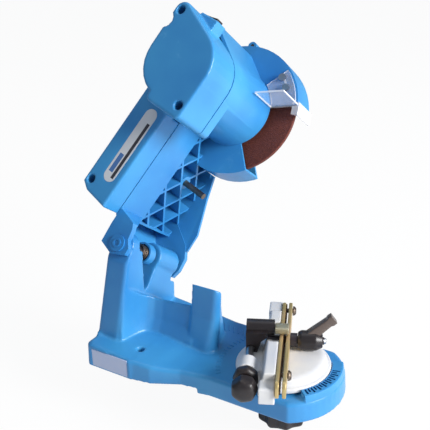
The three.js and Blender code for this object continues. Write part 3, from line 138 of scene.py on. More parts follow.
class Finish:
    # one material: its tree, its place on the object and its Principled shader
    def __init__(self, name, **fixed):
        self.material = bpy.data.materials.new(name)
        self.material.use_nodes = True
        self.tree = self.material.node_tree
        self.shader = self.tree.nodes["Principled BSDF"]
        self.place = self.add("ShaderNodeTexCoord", {})[3]
        self.set(**fixed)

    def add(self, kind, settings, *values, **named):
        return addNode(self.tree, kind, settings, *values, **named)

    def set(self, **named):
        for name, value in named.items():
            setSocket(self.tree, self.shader.inputs[name.replace("_", " ")], value)

    def noise(self, scale, detail=2.0, stretch=(1, 1, 1), rough=0.5):
        where = self.place
        if stretch != (1, 1, 1):
            where = self.add("ShaderNodeVectorMath", {"operation": "MULTIPLY"}, where, stretch)[0]
        return self.add("ShaderNodeTexNoise", {}, Vector=where, Scale=scale, Detail=detail,
                        Roughness=rough)[0]

    def mix(self, share, low, high):
        made = self.tree.nodes.new("ShaderNodeMix")
        made.data_type = "RGBA"
        for socket, value in ((made.inputs[0], share), (made.inputs[6], low), (made.inputs[7], high)):
            setSocket(self.tree, socket, value)
        return Wire(self.tree, made.outputs[2])

    def bump(self, height, strength, distance):
        normal = self.add("ShaderNodeBump", {}, Strength=strength, Distance=distance, Height=height)[0]
        self.set(Normal=normal)


def linear(r, g, b):
    # a colour given as on screen, 0 to 255, as linear light
    share = np.array([r, g, b]) / 255
    low, high = share / 12.92, ((share + 0.055) / 1.055) ** 2.4
    return tuple(float(v) for v in np.where(share <= 0.04045, low, high))


tone = {
    "blue": (62, 146, 198), "blueDeep": (44, 122, 186), "blueWorn": (126, 196, 226),
    # painted shade for the floors of the scale's marks
    "grooveShadeBlue": (16, 72, 132),
    "white": (220, 217, 212), "whiteShade": (200, 201, 206),
    "gold": (212, 182, 130), "goldRose": (204, 158, 138), "goldGreen": (182, 166, 112),
    "black": (32, 26, 27), "blackWorn": (66, 54, 48), "barBrown": (88, 76, 70), "barWorn": (122, 108, 98),
    "steel": (176, 178, 182), "dark": (96, 84, 76), "darkWorn": (150, 136, 122), "sleeve": (38, 32, 38),
    "grit": (88, 36, 28), "gritPale": (128, 62, 46), "gritDark": (50, 20, 16),
    "clear": (236, 234, 236), "rim": (240, 242, 246), "pale": (216, 208, 180), "paleDeep": (186, 176, 144),
    "plate": (178, 190, 220), "film": (204, 206, 210), "band": (52, 50, 56),
    # slot is the colour of the painted shadow in the slot between the rails
    "field": (70, 110, 164), "slot": (62, 40, 20),
}
tone = {name: linear(*value) for name, value in tone.items()}


def mouldedBlue():
    # satin moulded plastic: slow colour drift, spark-eroded grain, a few paler rubs, and painted shade on the
    # floors of the scale's marks
    m = Finish("mouldedBlue", IOR=1.5)
    drift = m.noise(14, 3)
    rub = m.noise(60, 6, rough=0.7).ramp(0.62, 0.78)
    body = m.mix(drift.ramp(0.3, 0.7), tone["blueDeep"], tone["blue"])
    body = m.mix(rub * 0.22, body, tone["blueWorn"])
    # the attribute marks the floors of the scale's marks, where shade is painted in
    grooveShade = m.add("ShaderNodeAttribute", {"attribute_name": "grooveShade"})[2]
    m.set(Base_Color=m.mix(grooveShade, body, tone["grooveShadeBlue"]), Roughness=drift * 0.1 + rub * 0.08 + 0.3)
    m.bump(m.noise(2600, 2), 0.1, 0.0002)
    return m.material


def castPaint():
    # white paint over a die casting: orange peel and faint grey mottling
    m = Finish("castPaint", IOR=1.5)
    mottle = m.noise(26, 4)
    m.set(Base_Color=m.mix(mottle.ramp(0.35, 0.7), tone["whiteShade"], tone["white"]),
          Roughness=mottle * 0.12 + 0.34)
    m.bump(m.noise(520, 3) * 0.6 + m.noise(90, 2), 0.16, 0.0004)
    return m.material


def yellowZinc():
    # passivated sheet: rolling marks along the rail and drifting tints
    m = Finish("yellowZinc", Metallic=0.7)
    tint = m.noise(34, 4, rough=0.6)
    lines = m.noise(40, 5, (1, 1, 24))
    body = m.mix(tint.ramp(0.3, 0.55), tone["goldGreen"], tone["gold"])
    body = m.mix(tint.ramp(0.55, 0.75), body, tone["goldRose"])
    m.set(Base_Color=body, Roughness=lines * 0.2 + 0.34)
    m.bump(lines, 0.08, 0.0002)
    return m.material


def blackMould(name="blackMould", colour="black", worn="blackWorn"):
    # black plastic with a leathery grain and greyed rubs
    m = Finish(name, IOR=1.5)
    rub = m.noise(140, 5, rough=0.7).ramp(0.56, 0.74)
    m.set(Base_Color=m.mix(rub * 0.5, tone[colour], tone[worn]), Roughness=rub * 0.14 + 0.36)
    m.bump(m.noise(1500, 2), 0.2, 0.0002)
    return m.material


def turnedMetal(name, colour, worn, spread, low):
    # bright or blackened steel with fine scratches
    m = Finish(name, Metallic=1.0)
    cloud = m.noise(90, 4)
    scratch = m.noise(300, 6, (1, 6, 1), 0.7)
    m.set(Base_Color=m.mix(cloud.ramp(0.35, 0.7), tone[colour], tone[worn]),
          Roughness=scratch * spread + low)
    m.bump(scratch, 0.06, 0.0001)
    return m.material


def bondedGrit():
    # grains of two shades in a darker bond, rough all over
    m = Finish("bondedGrit", IOR=1.5)
    grains = m.add("ShaderNodeTexVoronoi", {}, Vector=m.place, Scale=1300.0)
    fine = m.noise(2400, 3)
    cloud = m.noise(40, 3)
    body = m.mix(grains[0].ramp(0.1, 0.7), tone["gritPale"], tone["grit"])
    body = m.mix(fine.ramp(0.5, 0.72), body, tone["gritDark"])
    m.set(Base_Color=m.mix(cloud.ramp(0.4, 0.8) * 0.4, body, tone["gritDark"]), Roughness=fine * 0.2 + 0.75)
    m.bump(grains[0] + fine * 0.6, 0.6, 0.0004)
    return m.material


def clearSheet(name="clearSheet", low=0.1):
    # clear moulded sheet with faint haze and fine scratches
    m = Finish(name, IOR=1.5)
    haze = m.noise(70, 5, rough=0.65)
    scratch = m.noise(260, 6, (1, 9, 1), 0.75).ramp(0.62, 0.74)
    m.set(Base_Color=tone["clear"], Roughness=haze * 0.12 + scratch * 0.2 + 0.06,
          Alpha=haze * 0.14 + scratch * 0.12 + low)
    m.bump(haze, 0.05, 0.0005)
    return m.material


def plainPlate(name, colour):
    # printed film: even, with a faint mottle and a soft sheen
    m = Finish(name, IOR=1.5)
    cloud = m.noise(120, 3)
    m.set(Base_Color=m.mix(cloud.ramp(0.2, 0.9) * 0.2, tone[colour], tone["white"]),
          Roughness=cloud * 0.14 + 0.3)
    m.bump(m.noise(900, 2), 0.05, 0.0001)
    return m.material


# plain fields on the arm's label: from and to along the arm, then across it, and their soft edge
label = {"field": (44, 61, 28.6, 33.0), "band": (40, 92, 24.4, 27.4), "soft": 0.2}


def printedFilm():
    # pale film with one plain dark band and one plain blue field, placed along the arm's own axes
    m = Finish("printedFilm", IOR=1.5)
    cloud = m.noise(120, 3)

    def along(direction):
        # mm from the hinge: place . direction less hinge . direction
        offset = float(np.dot(direction, hingeAt))
        way = tuple(map(float, direction))
        dot = m.add("ShaderNodeVectorMath", {"operation": "DOT_PRODUCT"}, m.place, way)[1]
        return dot * (1 / mm) - offset

    run, back = along(armAxis), along(np.cross(armAxis, pinAxis))

    def between(wire, low, high):
        return wire.ramp(low, low + label["soft"]) * (1 - wire.ramp(high, high + label["soft"]))

    def field(x0, x1, z0, z1):
        return between(run, x0, x1) * between(back, z0, z1)

    body = m.mix(cloud.ramp(0.2, 0.9) * 0.3, tone["film"], tone["white"])
    body = m.mix(field(*label["field"]), body, tone["field"])
    body = m.mix(field(*label["band"]), body, tone["band"])
    m.set(Base_Color=body, Roughness=cloud * 0.14 + 0.3)
    m.bump(m.noise(900, 2), 0.05, 0.0001)
    return m.material


finish = {
    "blue_plastic": mouldedBlue(), "white_casting": castPaint(), "zinc_yellow": yellowZinc(),
    "black_plastic": blackMould(), "steel": turnedMetal("groundSteel", "steel", "steel", 0.24, 0.2),
    "dark_steel": turnedMetal("blackedSteel", "dark", "darkWorn", 0.2, 0.36), "grit": bondedGrit(),
    "clear_plastic": clearSheet(), "pale_brass": turnedMetal("paleZinc", "pale", "paleDeep", 0.2, 0.4),
    "lamination": turnedMetal("coreSheets", "dark", "steel", 0.3, 0.4),
    "copper": turnedMetal("turnedCopper", "goldRose", "gold", 0.2, 0.25),
    "plate": plainPlate("plateFilm", "plate"),
}
sheetRim = clearSheet("sheetRim", 0.62)
hazySheet = clearSheet("hazySheet", 0.34)
barPaint = blackMould("barPaint", "barBrown", "barWorn")
sleeveBlack = blackMould("sleeveBlack", "sleeve", "black")
slotShade = blackMould("slotShade", "slot", "black")
print("finishes made")

# pieces from the frame
record = frame["record"]
slotOf = {s["node"]: s["material_slot"] for s in record["subparts"]}
bodyOf = {n: body for body, names in record["behaviour"]["bodies"].items() for n in names}

# edge rounding of each dressed copy, in mm
softEdge = {"arm_housing": 0.5, "wheel_cover": 0.5, "eye_shield": 0.2, "stop_bracket": 0.7,
            "hinge_bush": 0.3, "power_rocker": 0.4, "clamp_rail": 0.25, "fixed_rail": 0.25,
            "cable_gland": 0.4}
# cell size in mm and rounds of relaxing for what is moulded or cast in one piece
softForm = {"base_shell": (1.05, 6), "arm_cover": (0.8, 2), "vise_casting": (0.7, 5)}
# set under a moulded skin before it is rebuilt: the flare of the web, and the turntable's crown
flare = {"x": (2, 26), "back": -1.0, "front": 9.3, "fall": 4, "low": 12, "skin": 0.2,
         "levels": (17, 28, 44, 70), "half": (14, 8.5, 4.6, 3.6), "reach": (28.5, 32.5, 32.6, 28),
         "plane": (39.0, 0.07, -0.727), "level": 52.0, "steps": 40, "rows": 14}
crown = [(13.8, 0), (13.8, 33.4), (20.6, 33.7), (22.2, 32.6), (23.5, 29.4), (23.9, 20), (24.0, 0)]
# nodes whose finish is not their slot's usual one
ownFinish = {"clamp_sleeve": sleeveBlack, "clamp_stud": sleeveBlack, "type_plate": printedFilm(),
             "shield_screw_1": finish["steel"], "shield_screw_2": finish["steel"]}


weld, sharpAngle = 2e-6, 32   # metres, degrees


def smoothByAngle(mesh, degrees=sharpAngle):
    # smooth faces, with a crease where two meet at more than the angle
    mesh.shade_smooth()
    mesh.set_sharp_from_angle(angle=math.radians(degrees))


def addBevel(piece, width, segments=3):
    # rounds what is creased, width in mm
    bevel = piece.modifiers.new("edge", "BEVEL")
    bevel.width = width * mm
    bevel.segments = segments
    bevel.limit_method = "ANGLE"
    bevel.angle_limit = math.radians(sharpAngle)
    bevel.harden_normals = True


def standsFor(piece, node):
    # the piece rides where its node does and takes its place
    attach(piece, bodyOf[node])
    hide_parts(node)
    return piece


def dressedCopy(node, width):
    # the node's own faces, merged and freed of flat seams, with rounded edges
    source = frame["nodes"][node]
    mesh = bpy.data.meshes.new(node + "_dress")
    work = bmesh.new()
    work.from_mesh(source.data)
    bmesh.ops.remove_doubles(work, verts=work.verts, dist=weld)
    bmesh.ops.dissolve_limit(work, angle_limit=math.radians(0.6), verts=work.verts, edges=work.edges)
    work.to_mesh(mesh)
    work.free()
    piece = bpy.data.objects.new(node + "_dress", mesh)
    scene.collection.objects.link(piece)
    smoothByAngle(mesh)
    addBevel(piece, width)
    mesh.materials.append(finish[slotOf[node]])
    return standsFor(piece, node)


def mouldedCopy(node, cell, rounds, under=None):
    # the node's solid, and what lies under its skin, rebuilt on small cells and relaxed
    source = frame["nodes"][node]
    mesh = bpy.data.meshes.new(node + "_cells")
    work = bmesh.new()
    work.from_mesh(source.data)
    if under is not None:
        extra = bpy.data.meshes.new(node + "_under")
        extra.from_pydata(*under)
        work.from_mesh(extra)
    bmesh.ops.remove_doubles(work, verts=work.verts, dist=weld)
    work.to_mesh(mesh)
    work.free()
    raw = bpy.data.objects.new(node + "_cells", mesh)
    scene.collection.objects.link(raw)
    cells = raw.modifiers.new("cells", "REMESH")
    cells.mode = "VOXEL"
    cells.voxel_size = cell * mm
    relax = raw.modifiers.new("relax", "SMOOTH")
    relax.factor = 0.5
    relax.iterations = rounds
    shaped = bpy.data.meshes.new_from_object(raw.evaluated_get(bpy.context.evaluated_depsgraph_get()))
    bpy.data.objects.remove(raw)
    piece = bpy.data.objects.new(node + "_dress", shaped)
    scene.collection.objects.link(piece)
    shaped.shade_smooth()
    shaped.materials.clear()
    shaped.materials.append(finish[slotOf[node]])
    print(node, "faces", len(shaped.polygons))
    return standsFor(piece, node)


def brightRim(piece, thin=1.45, reach=56.8):
    # faces past reach from the motor's axis are hazier; narrow ones, where area over half the outline
    # is under thin, take the rim finish
    mesh = piece.data
    mesh.materials.append(sheetRim)
    mesh.materials.append(hazySheet)
    rows, origin = axes["arm"]
    work = bmesh.new()
    work.from_mesh(mesh)
    for face in work.faces:
        place = rows @ (np.array(face.calc_center_median()) / mm - origin)
        if math.hypot(place[0] - motorAt[0], place[2] - motorAt[1]) > reach:
            face.material_index = 2
        if face.calc_area() / (face.calc_perimeter() / 2) < thin * mm:
            face.material_index = 1
    work.to_mesh(mesh)
    work.free()


for node, thing in frame["nodes"].items():
    thing.data.materials.clear()
    thing.data.materials.append(ownFinish.get(node, finish[slotOf[node]]))
print("finishes set on the frame")

# shapes on grids
axes = {
    "base": (np.eye(3), (0, 0, 0)),
    "pin": (np.array([(1, 0, 0), pinAxis, pinUp]), hingeAt),
    "arm": (np.array([armAxis, pinAxis, np.cross(armAxis, pinAxis)]), hingeAt),
    "vise": (np.array([(math.cos(viseTurn), math.sin(viseTurn), 0),
                       (-math.sin(viseTurn), math.cos(viseTurn), 0), (0, 0, 1)]), turntableAt),
}
motorAt = (144, 17.5)


def toMachine(points, place):
    # own axes in mm to the machine frame in metres
    rows, origin = axes[place]
    return (points.reshape(-1, 3) @ rows + np.array(origin)) * mm


def gridFaces(rows, cols, ring, round_):
    # one quad between each point, its neighbour in the row and the two in the next row
    i, j = np.meshgrid(np.arange(rows if ring else rows - 1), np.arange(cols if round_ else cols - 1),
                       indexing="ij")
    n, k = (i + 1) % rows, (j + 1) % cols
    return np.stack([i * cols + j, i * cols + k, n * cols + k, n * cols + j], -1).reshape(-1, 4)


def fillet(points, radii, steps=5):
    # a line of straight runs with each corner swung over by a short quadratic curve
    line = [points[0]]
    for before, corner, after, radius in zip(points, points[1:], points[2:], radii):
        before, corner, after = map(np.array, (before, corner, after))
        start = corner + (before - corner) * min(0.5, radius / (np.linalg.norm(before - corner) + 1e-9))
        end = corner + (after - corner) * min(0.5, radius / (np.linalg.norm(after - corner) + 1e-9))
        share = np.linspace(0, 1, steps)[:, None]
        line.extend(start * (1 - share) ** 2 + corner * 2 * share * (1 - share) + end * share ** 2)
    line.append(points[-1])
    return np.array(line, float)


def turned(profile, axis, centre, sides=96, lobes=0, depth=0.0, sharp=1.0, phase=0.0):
    # (distance along the axis, radius) carried round the axis; lobes pull the radius in between them
    turn = np.linspace(0, 2 * np.pi, sides, endpoint=False)
    along, radius = profile[:, 0][:, None], profile[:, 1][:, None]
    wave = 1 - depth * np.abs(np.sin((turn + phase) * lobes / 2)) ** sharp if lobes else np.ones_like(turn)
    reach = radius / radius.max()
    out = radius * (1 + (wave[None, :] - 1) * reach ** 3)
    a, b = out * np.cos(turn), out * np.sin(turn)
    stacked = {"x": (along + a * 0, centre[0] + a, centre[1] + b),
               "y": (centre[0] + a, along + a * 0, centre[1] + b),
               "z": (centre[0] + a, centre[1] + b, along + a * 0)}[axis]
    return np.stack(stacked, -1)


def boxLoop(wide, high, radius, steps=4):
    # a rectangle with round corners as one closed loop of (x, y)
    turn = np.linspace(0, np.pi / 2, steps + 1)
    quarter = np.stack([np.cos(turn), np.sin(turn)], -1) * radius
    loop = []
    for k, (sx, sy) in enumerate(((1, 1), (-1, 1), (-1, -1), (1, -1))):
        c, s = math.cos(k * math.pi / 2), math.sin(k * math.pi / 2)
        corner = (sx * (wide / 2 - radius), sy * (high / 2 - radius))
        loop.append(quarter @ np.array([(c, s), (-s, c)]) + corner)
    return np.concatenate(loop)


def carried(loops, path, side):
    # a loop at each point of the path, square to it; side is the way that the loop's first axis leans
    path = np.array(path, float)
    run = np.gradient(path, axis=0)
    run /= np.linalg.norm(run, axis=1)[:, None]
    across = np.array(side, float) - run * (run @ np.array(side, float))[:, None]
    across /= np.linalg.norm(across, axis=1)[:, None]
    over = np.cross(run, across)
    return path[:, None] + loops[..., :1] * across[:, None] + loops[..., 1:] * over[:, None]


def gridPiece(name, grids, place, slotName, body, replaced=(), ring=False, edge=0.0, dress=None):
    # one mesh from one or more grids; open ends are closed by one face each
    points, faces, used = [], [], 0
    for grid in grids if isinstance(grids, list) else [grids]:
        rows, cols = grid.shape[:2]
        points.append(grid.reshape(-1, 3))
        faces.extend((gridFaces(rows, cols, ring, True) + used).tolist())
        if not ring:
            for row in (0, rows - 1):
                faces.append((used + row * cols + np.arange(cols)).tolist())
        used += rows * cols
    mesh = bpy.data.meshes.new(name)
    mesh.from_pydata(toMachine(np.concatenate(points), place).tolist(), [], faces)
    work = bmesh.new()
    work.from_mesh(mesh)
    bmesh.ops.remove_doubles(work, verts=work.verts, dist=weld)
    bmesh.ops.dissolve_degenerate(work, edges=work.edges, dist=1e-7)
    bmesh.ops.recalc_face_normals(work, faces=work.faces)
    work.to_mesh(mesh)
    work.free()
    piece = bpy.data.objects.new(name, mesh)
    scene.collection.objects.link(piece)
    smoothByAngle(mesh)
    if edge:
        addBevel(piece, edge)
    mesh.materials.append(dress or finish[slotName])
    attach(piece, body)
    if replaced:
        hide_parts(*replaced)
    return piece


def headGrid(axis, base, direction, centre, radius, high, recess):
    # a low dome with a round driver recess in its middle
    profile = fillet([(0, 0), (0, radius), (high * 0.45, radius * 0.97), (high, radius * 0.62),
                      (high, radius * 0.42), (high - recess, radius * 0.34), (high - recess, 0)],
                     [0.2, 0.5, 0.6, 0.3, 0.2])
    profile[:, 0] = base + direction * profile[:, 0]
    return turned(profile, axis, centre, 48)


def closedGrid(grid, place):
    # points, no edges and faces of a grid closed round its columns and capped at both ends
    rows, cols = grid.shape[:2]
    faces = gridFaces(rows, cols, False, True).tolist()
    faces += [list(range(cols)), list(range((rows - 1) * cols, rows * cols))]
    return toMachine(grid, place).tolist(), [], faces


def flareBody():
    # y = -(half + reach e^((front - x) / fall)) from the base up to the web's slanted top
    f, n = flare, flare["steps"]
    x = np.linspace(*f["x"], n)
    outline = np.concatenate([x, x[::-1]])
    near = np.concatenate([np.ones(n), np.zeros(n)])
    pull = np.minimum(1, np.exp((f["front"] - f["skin"] * 2 - outline) / f["fall"]))

    def sideAt(z):
        half, reach = np.interp(z, f["levels"], f["half"]), np.interp(z, f["levels"], f["reach"])
        return np.where(near > 0, f["skin"] - half - reach * pull, f["back"])

    base, run, lean = f["plane"]
    top = base + run * outline + lean * sideAt(f["level"])
    rows = []
    for share in np.linspace(0, 1, f["rows"]):
        z = f["low"] + (top - f["low"]) * share
        rows.append(np.stack([outline, sideAt(z), z], -1))
    return closedGrid(np.stack(rows), "base")


def crownBody():
    # the turntable's upper step as one softly domed lathe
    profile = fillet(crown, [0.1, 1.0, 1.2, 2.0, 3.0, 2.0])
    return closedGrid(turned(profile[1:-1], "z", (0, 0), 120), "vise")


for node, width in softEdge.items():
    piece = dressedCopy(node, width)
    if node == "eye_shield":
        brightRim(piece)
under = {"base_shell": flareBody(), "vise_casting": crownBody()}
for node, (cell, rounds) in softForm.items():
    mouldedCopy(node, cell, rounds, under.get(node))
print("dressed copies made")

# grinding wheel
disc = {"radius": 54, "thick": 3.2, "bore": 11.5, "y": 29.4, "edge": 0.7}


def makeWheel():
    # a ring with a worn rim: straight sides, softly broken outer corners
    half = disc["thick"] / 2
    loop = [(-half, disc["bore"]), (-half, disc["radius"]), (half, disc["radius"]), (half, disc["bore"])]
    profile = fillet(loop, [disc["edge"]] * 2)
    profile[:, 0] += disc["y"]
    gridPiece("wheel_disc", turned(profile, "y", motorAt, 160), "arm", "grit", "spindle",
              ["grinding_wheel"], ring=True)


makeWheel()
print("wheel made")

# knobs
knob = {"at": (-26, 26.6), "adjust": (-58, -44.0, 10.0, 7), "lock": (-41.5, -31.6, 10.0, 7),
        "under": (-36.4, -7, 21.0, 9), "bore": 3.4, "pull": (0.075, 1.15), "underPull": (0.14, 1.4),
        "sides": 196, "lockPhase": 0.4}


def makeKnobs():
    # turned grips whose side is pulled in between the lobes; the near one is closed by a low dome
    bore, sides = knob["bore"], knob["sides"]
    y0, y1, radius, lobes = knob["adjust"]
    profile = fillet([(y0 - 0.6, 0), (y0 - 0.2, radius * 0.5), (y0 + 2.2, radius * 0.92), (y0 + 6, radius),
                      (y1 - 2.4, radius), (y1, radius * 0.66), (y1, bore), (y0 + 3, bore), (y0 + 3, 0)],
                     [3, 3.4, 2.4, 3, 2.4, 0.6, 0.3])
    gridPiece("adjust_knob_grip", turned(profile, "y", knob["at"], sides, lobes, *knob["pull"]), "vise",
              "black_plastic", "adjuster", ["adjust_knob"])
    y0, y1, radius, lobes = knob["lock"]
    profile = fillet([(y0 + 1.0, bore), (y0, radius * 0.6), (y0 + 2.4, radius * 0.98), (y1 - 2.6, radius),
                      (y1, radius * 0.66), (y1, bore)], [1.6, 2.2, 2.4, 2.4])
    grip = turned(profile, "y", knob["at"], sides, lobes, *knob["pull"], knob["lockPhase"])
    gridPiece("lock_knob_grip", grip, "vise", "black_plastic", "stop_lock", ["lock_knob"], ring=True)
    z0, z1, radius, lobes = knob["under"]
    profile = fillet([(z0, 0), (z0, radius * 0.7), (z0 + 2.6, radius * 0.98), (z1 - 5, radius),
                      (z1 - 2, radius * 0.9), (z1, radius * 0.66), (z1, 4.6), (z0 + 4, 4.6), (z0 + 4, 0)],
                     [2.4, 3, 3, 2, 1.6, 0.4, 0.4])
    gridPiece("swivel_knob_grip", turned(profile, "z", (0, 0), 180, lobes, *knob["underPull"]), "vise",
              "black_plastic", "under_knob", ["swivel_knob"])


makeKnobs()
print("knobs made")

# clamp lever
lever = {"y": 10, "z": 31.5, "from": 10.8, "to": 30.2, "radius": 7.9, "bore": 3.4,
         "root": (20.0, 11.2, 34.6), "bend": (29, 13.4, 42.4), "tip": (38.6, 15.4, 49.4),
         "wide": (9.4, 8.8, 7.8), "high": (8.6, 7.0, 6.2), "boltTo": 33.0, "boltRadius": 3.0,
         "stopFrom": 0.8, "stopRise": 1.7}


def makeLever():
    # a turned hub with chamfered ends, a square bar along a quadratic curve that thins towards its
    # raised end stop, and the end bolt
    x0, x1, r = lever["from"], lever["to"], lever["radius"]
    middle = (lever["y"], lever["z"])
    profile = fillet([(x0, lever["bore"]), (x0, r * 0.8), (x0 + 2.6, r), (x1 - 5.4, r), (x1, r * 0.66),
                      (x1, 4.2), (x1 - 2.0, 4.2), (x1 - 2.0, lever["bore"])],
                     [0.6, 1.0, 1.2, 0.9, 0.3, 0.3])
    gridPiece("lever_hub", turned(profile, "x", middle, 96), "vise", "black_plastic",
              "lever", ["clamp_lever"], ring=True)
    share = np.linspace(0, 1, 25)[:, None]
    root, bend, tip = (np.array(lever[k], float) for k in ("root", "bend", "tip"))
    path = root * (1 - share) ** 2 + bend * 2 * share * (1 - share) + tip * share ** 2
    stops = np.linspace(0, 1, 3)
    wide = np.interp(share[:, 0], stops, lever["wide"])
    high = np.interp(share[:, 0], stops, lever["high"])
    high = high + lever["stopRise"] * np.clip((share[:, 0] - lever["stopFrom"]) / 0.05, 0, 1)
    loops = np.stack([boxLoop(w, h, 1.1) for w, h in zip(wide, high)])
    gridPiece("lever_bar", carried(loops, path, (0, 1, -0.1)), "vise", "black_plastic", "lever", edge=0.4,
              dress=barPaint)
    radius, high = lever["boltRadius"], lever["boltTo"] - x1 + 1.6
    gridPiece("end_bolt_head", headGrid("x", x1 - 1.6, 1, middle, radius, high, 1.2), "vise", "dark_steel",
              "vise", ["clamp_end_nut"], dress=finish["steel"])


# screws
screws = {"dome": [("rail_screw_far", 55), ("rail_screw_near", -38)], "domeZ": 31, "domeX": 5.2,
          "cover": [("cover_screw_foot", 30, 43, -42), ("cover_screw_lobe", 117, -6.5, -66),
                    ("cover_screw_top", 178.5, 43, -66)]}


def makeScrews():
    # a domed head on a plain shank for each rail screw, and a head alone for each cover screw
    seat, level = screws["domeX"], screws["domeZ"]
    for node, y in screws["dome"]:
        shank = fillet([(-12, 0), (-12, 1.9), (seat, 1.9), (seat, 0)], [0.3, 0.1])
        head = headGrid("x", seat + 0.1, 1, (y, level), 4.0, 2.6, 1.3)
        gridPiece(node + "_dome", [turned(shank, "x", (y, level), 32), head], "vise", "dark_steel", "vise",
                  [node])
    for node, x, z, y in screws["cover"]:
        gridPiece(node + "_head", headGrid("y", y - 0.3, -1, (x, z), 3.4, 2.2, 1.2), "arm", "dark_steel",
                  "arm")


makeLever()
print("lever made")
makeScrews()
print("screws made")

# return spring on the hinge pin
spring = {"wire": 0.7, "coil": 5.8, "turns": 4, "from": -1.5, "to": 9.4, "leg": 1.4}


def makeSpring():
    # a round wire along a helix, (c cos a, along, c sin a), with a short straight leg at each end
    turn = np.linspace(0, 2 * np.pi * spring["turns"], 32 * spring["turns"] + 1)
    along = spring["from"] + (spring["to"] - spring["from"]) * turn / turn[-1]
    path = np.stack([spring["coil"] * np.cos(turn), along, spring["coil"] * np.sin(turn)], -1)
    foot = path[:1] - (0, 0, spring["leg"])
    crown = path[-1:] + (0, 0, spring["leg"])
    path = np.concatenate([foot, path, crown])
    angle = np.linspace(0, 2 * np.pi, 14, endpoint=False)
    loop = np.stack([np.cos(angle), np.sin(angle)], -1) * spring["wire"]
    gridPiece("spring_coil", carried(np.repeat(loop[None], len(path), 0), path, (0, 1, 0)), "pin",
              "steel", "base", ["return_spring"], dress=finish["dark_steel"])


makeSpring()
print("spring made")

# chain stop pawl, and a dark strip as painted shadow between the rails
pawl = {"from": -6.8, "to": 3.8, "y": (4.4, 13.2), "z": (39.2, 44.6), "corner": 0.9}
shade = {"x": (-0.5, 0.55), "y": (-56, 57), "z": (26.4, 36.2)}


def makeStopPieces():
    # a block with rounded corners along x, and a thin dark strip on the fixed rail's inner face, painted
    # shadow in the slot between the rails
    middle = np.array([np.mean(pawl["y"]), np.mean(pawl["z"])])
    size = [pawl[k][1] - pawl[k][0] for k in "yz"]
    path = np.stack([np.linspace(pawl["from"], pawl["to"], 6), *np.repeat(middle[:, None], 6, 1)], -1)
    loops = np.repeat(boxLoop(size[0], size[1], pawl["corner"])[None], 6, 0)
    gridPiece("pawl_block", carried(loops, path, (0, 1, 0)), "vise", "pale_brass", "pawl", ["stop_pawl"],
              edge=0.5)
    path = np.stack([np.full(9, np.mean(shade["x"])), np.linspace(*shade["y"], 9),
                     np.full(9, np.mean(shade["z"]))], -1)
    loops = np.repeat(boxLoop(shade["x"][1] - shade["x"][0], shade["z"][1] - shade["z"][0], 0.3)[None], 9, 0)
    gridPiece("rail_slot_shadow", carried(loops, path, (1, 0, 0)), "vise", "dark_steel", "vise", dress=slotShade)


makeStopPieces()
print("stop pieces made")

# angle scales on the base
scaleMarks = {"inner": 37.8, "outer": 47.0, "low": 11.2, "top": 17.0, "from": -42, "to": 30.5,
              "marksFrom": -38, "marksTo": 13, "marks": 15, "half": 0.66, "deep": 1.3, "short": 42.6,
              "long": 44.4, "steps": 760, "rings": 34}


def ridge(value, low, high, soft):
    # 1 between low and high, falling to 0 over soft
    return np.clip((value - low) / soft, 0, 1) * np.clip((high - value) / soft, 0, 1)


def makeScales():
    # z = top less deep where r and the angle fall in a mark; the attribute set below paints shade on each
    # mark's floor
    s = scaleMarks
    angle = np.radians(np.linspace(s["from"], s["to"], s["steps"]))
    edge = [(s["low"], s["inner"] + 0.2), (s["top"] - 0.5, s["inner"] + 0.1), (s["top"], s["inner"] + 0.6)]
    flat = [(s["top"], r) for r in np.linspace(s["inner"] + 1.0, s["outer"] - 1.4, s["rings"])]
    fall = [(s["top"] - 0.35, s["outer"] - 0.5), (s["top"] - 1.5, s["outer"]), (s["low"], s["outer"] + 0.4)]
    profile = np.array(edge + flat + fall)
    z, r = profile[:, 0][:, None], profile[:, 1][:, None]
    step = np.radians(s["marksTo"] - s["marksFrom"]) / (s["marks"] - 1)
    place = (angle - np.radians(s["marksFrom"])) / step
    off = np.abs(place - np.round(place)) * step * r
    inside = (np.round(place) >= 0) & (np.round(place) < s["marks"])
    end = np.where(np.round(place) % 2 == 0, s["long"], s["short"])
    across = np.clip((s["half"] - off) / 0.25 + 0.5, 0, 1)
    mark = ridge(r, s["inner"] + 0.9, end + 0.4, 0.4) * across * inside
    mark = mark * (z > s["top"] - 0.1)
    height = z - s["deep"] * mark
    grid = np.stack([turntableAt[0] + r * np.cos(angle), r * np.sin(angle), height + 0 * angle], -1)
    piece = gridPiece("front_scale", grid.transpose(1, 0, 2), "base", "blue_plastic", "base")
    spots = np.empty(len(piece.data.vertices) * 3, np.float32)
    piece.data.vertices.foreach_get("co", spots)
    x, y, z = spots.reshape(-1, 3).T / mm
    r = np.hypot(x - turntableAt[0], y)
    sunk = (z < s["top"] - 0.25) & (z > s["top"] - s["deep"] - 0.2)
    # the floors of the marks, which get painted shade
    grooveShade = sunk & (r > s["inner"] + 0.8) & (r < s["long"] + 0.8)
    piece.data.attributes.new("grooveShade", "FLOAT", "POINT").data.foreach_set("value", grooveShade.astype(np.float32))


# raised strokes beside the turntable and along the far edge behind the post
strokes = {"arc": (150, 218, 16), "radii": (49.5, 53.5), "edge": (62.5, 84.5, 6), "edgeY": (32.6, 24.8),
           "lean": 4.4, "wide": 1.0, "high": 0.9, "corner": 0.25, "proud": 0.05, "level": 12.0,
           "fall": (29, 74, 5.0)}


def topLevel(x):
    # level + rest of the fall, 1 - s^2 (3 - 2 s) with s the share of the slope run
    low, high, drop = strokes["fall"]
    share = np.clip((x - low) / (high - low), 0, 1)
    return strokes["level"] + drop * (1 - share ** 2 * (3 - 2 * share))


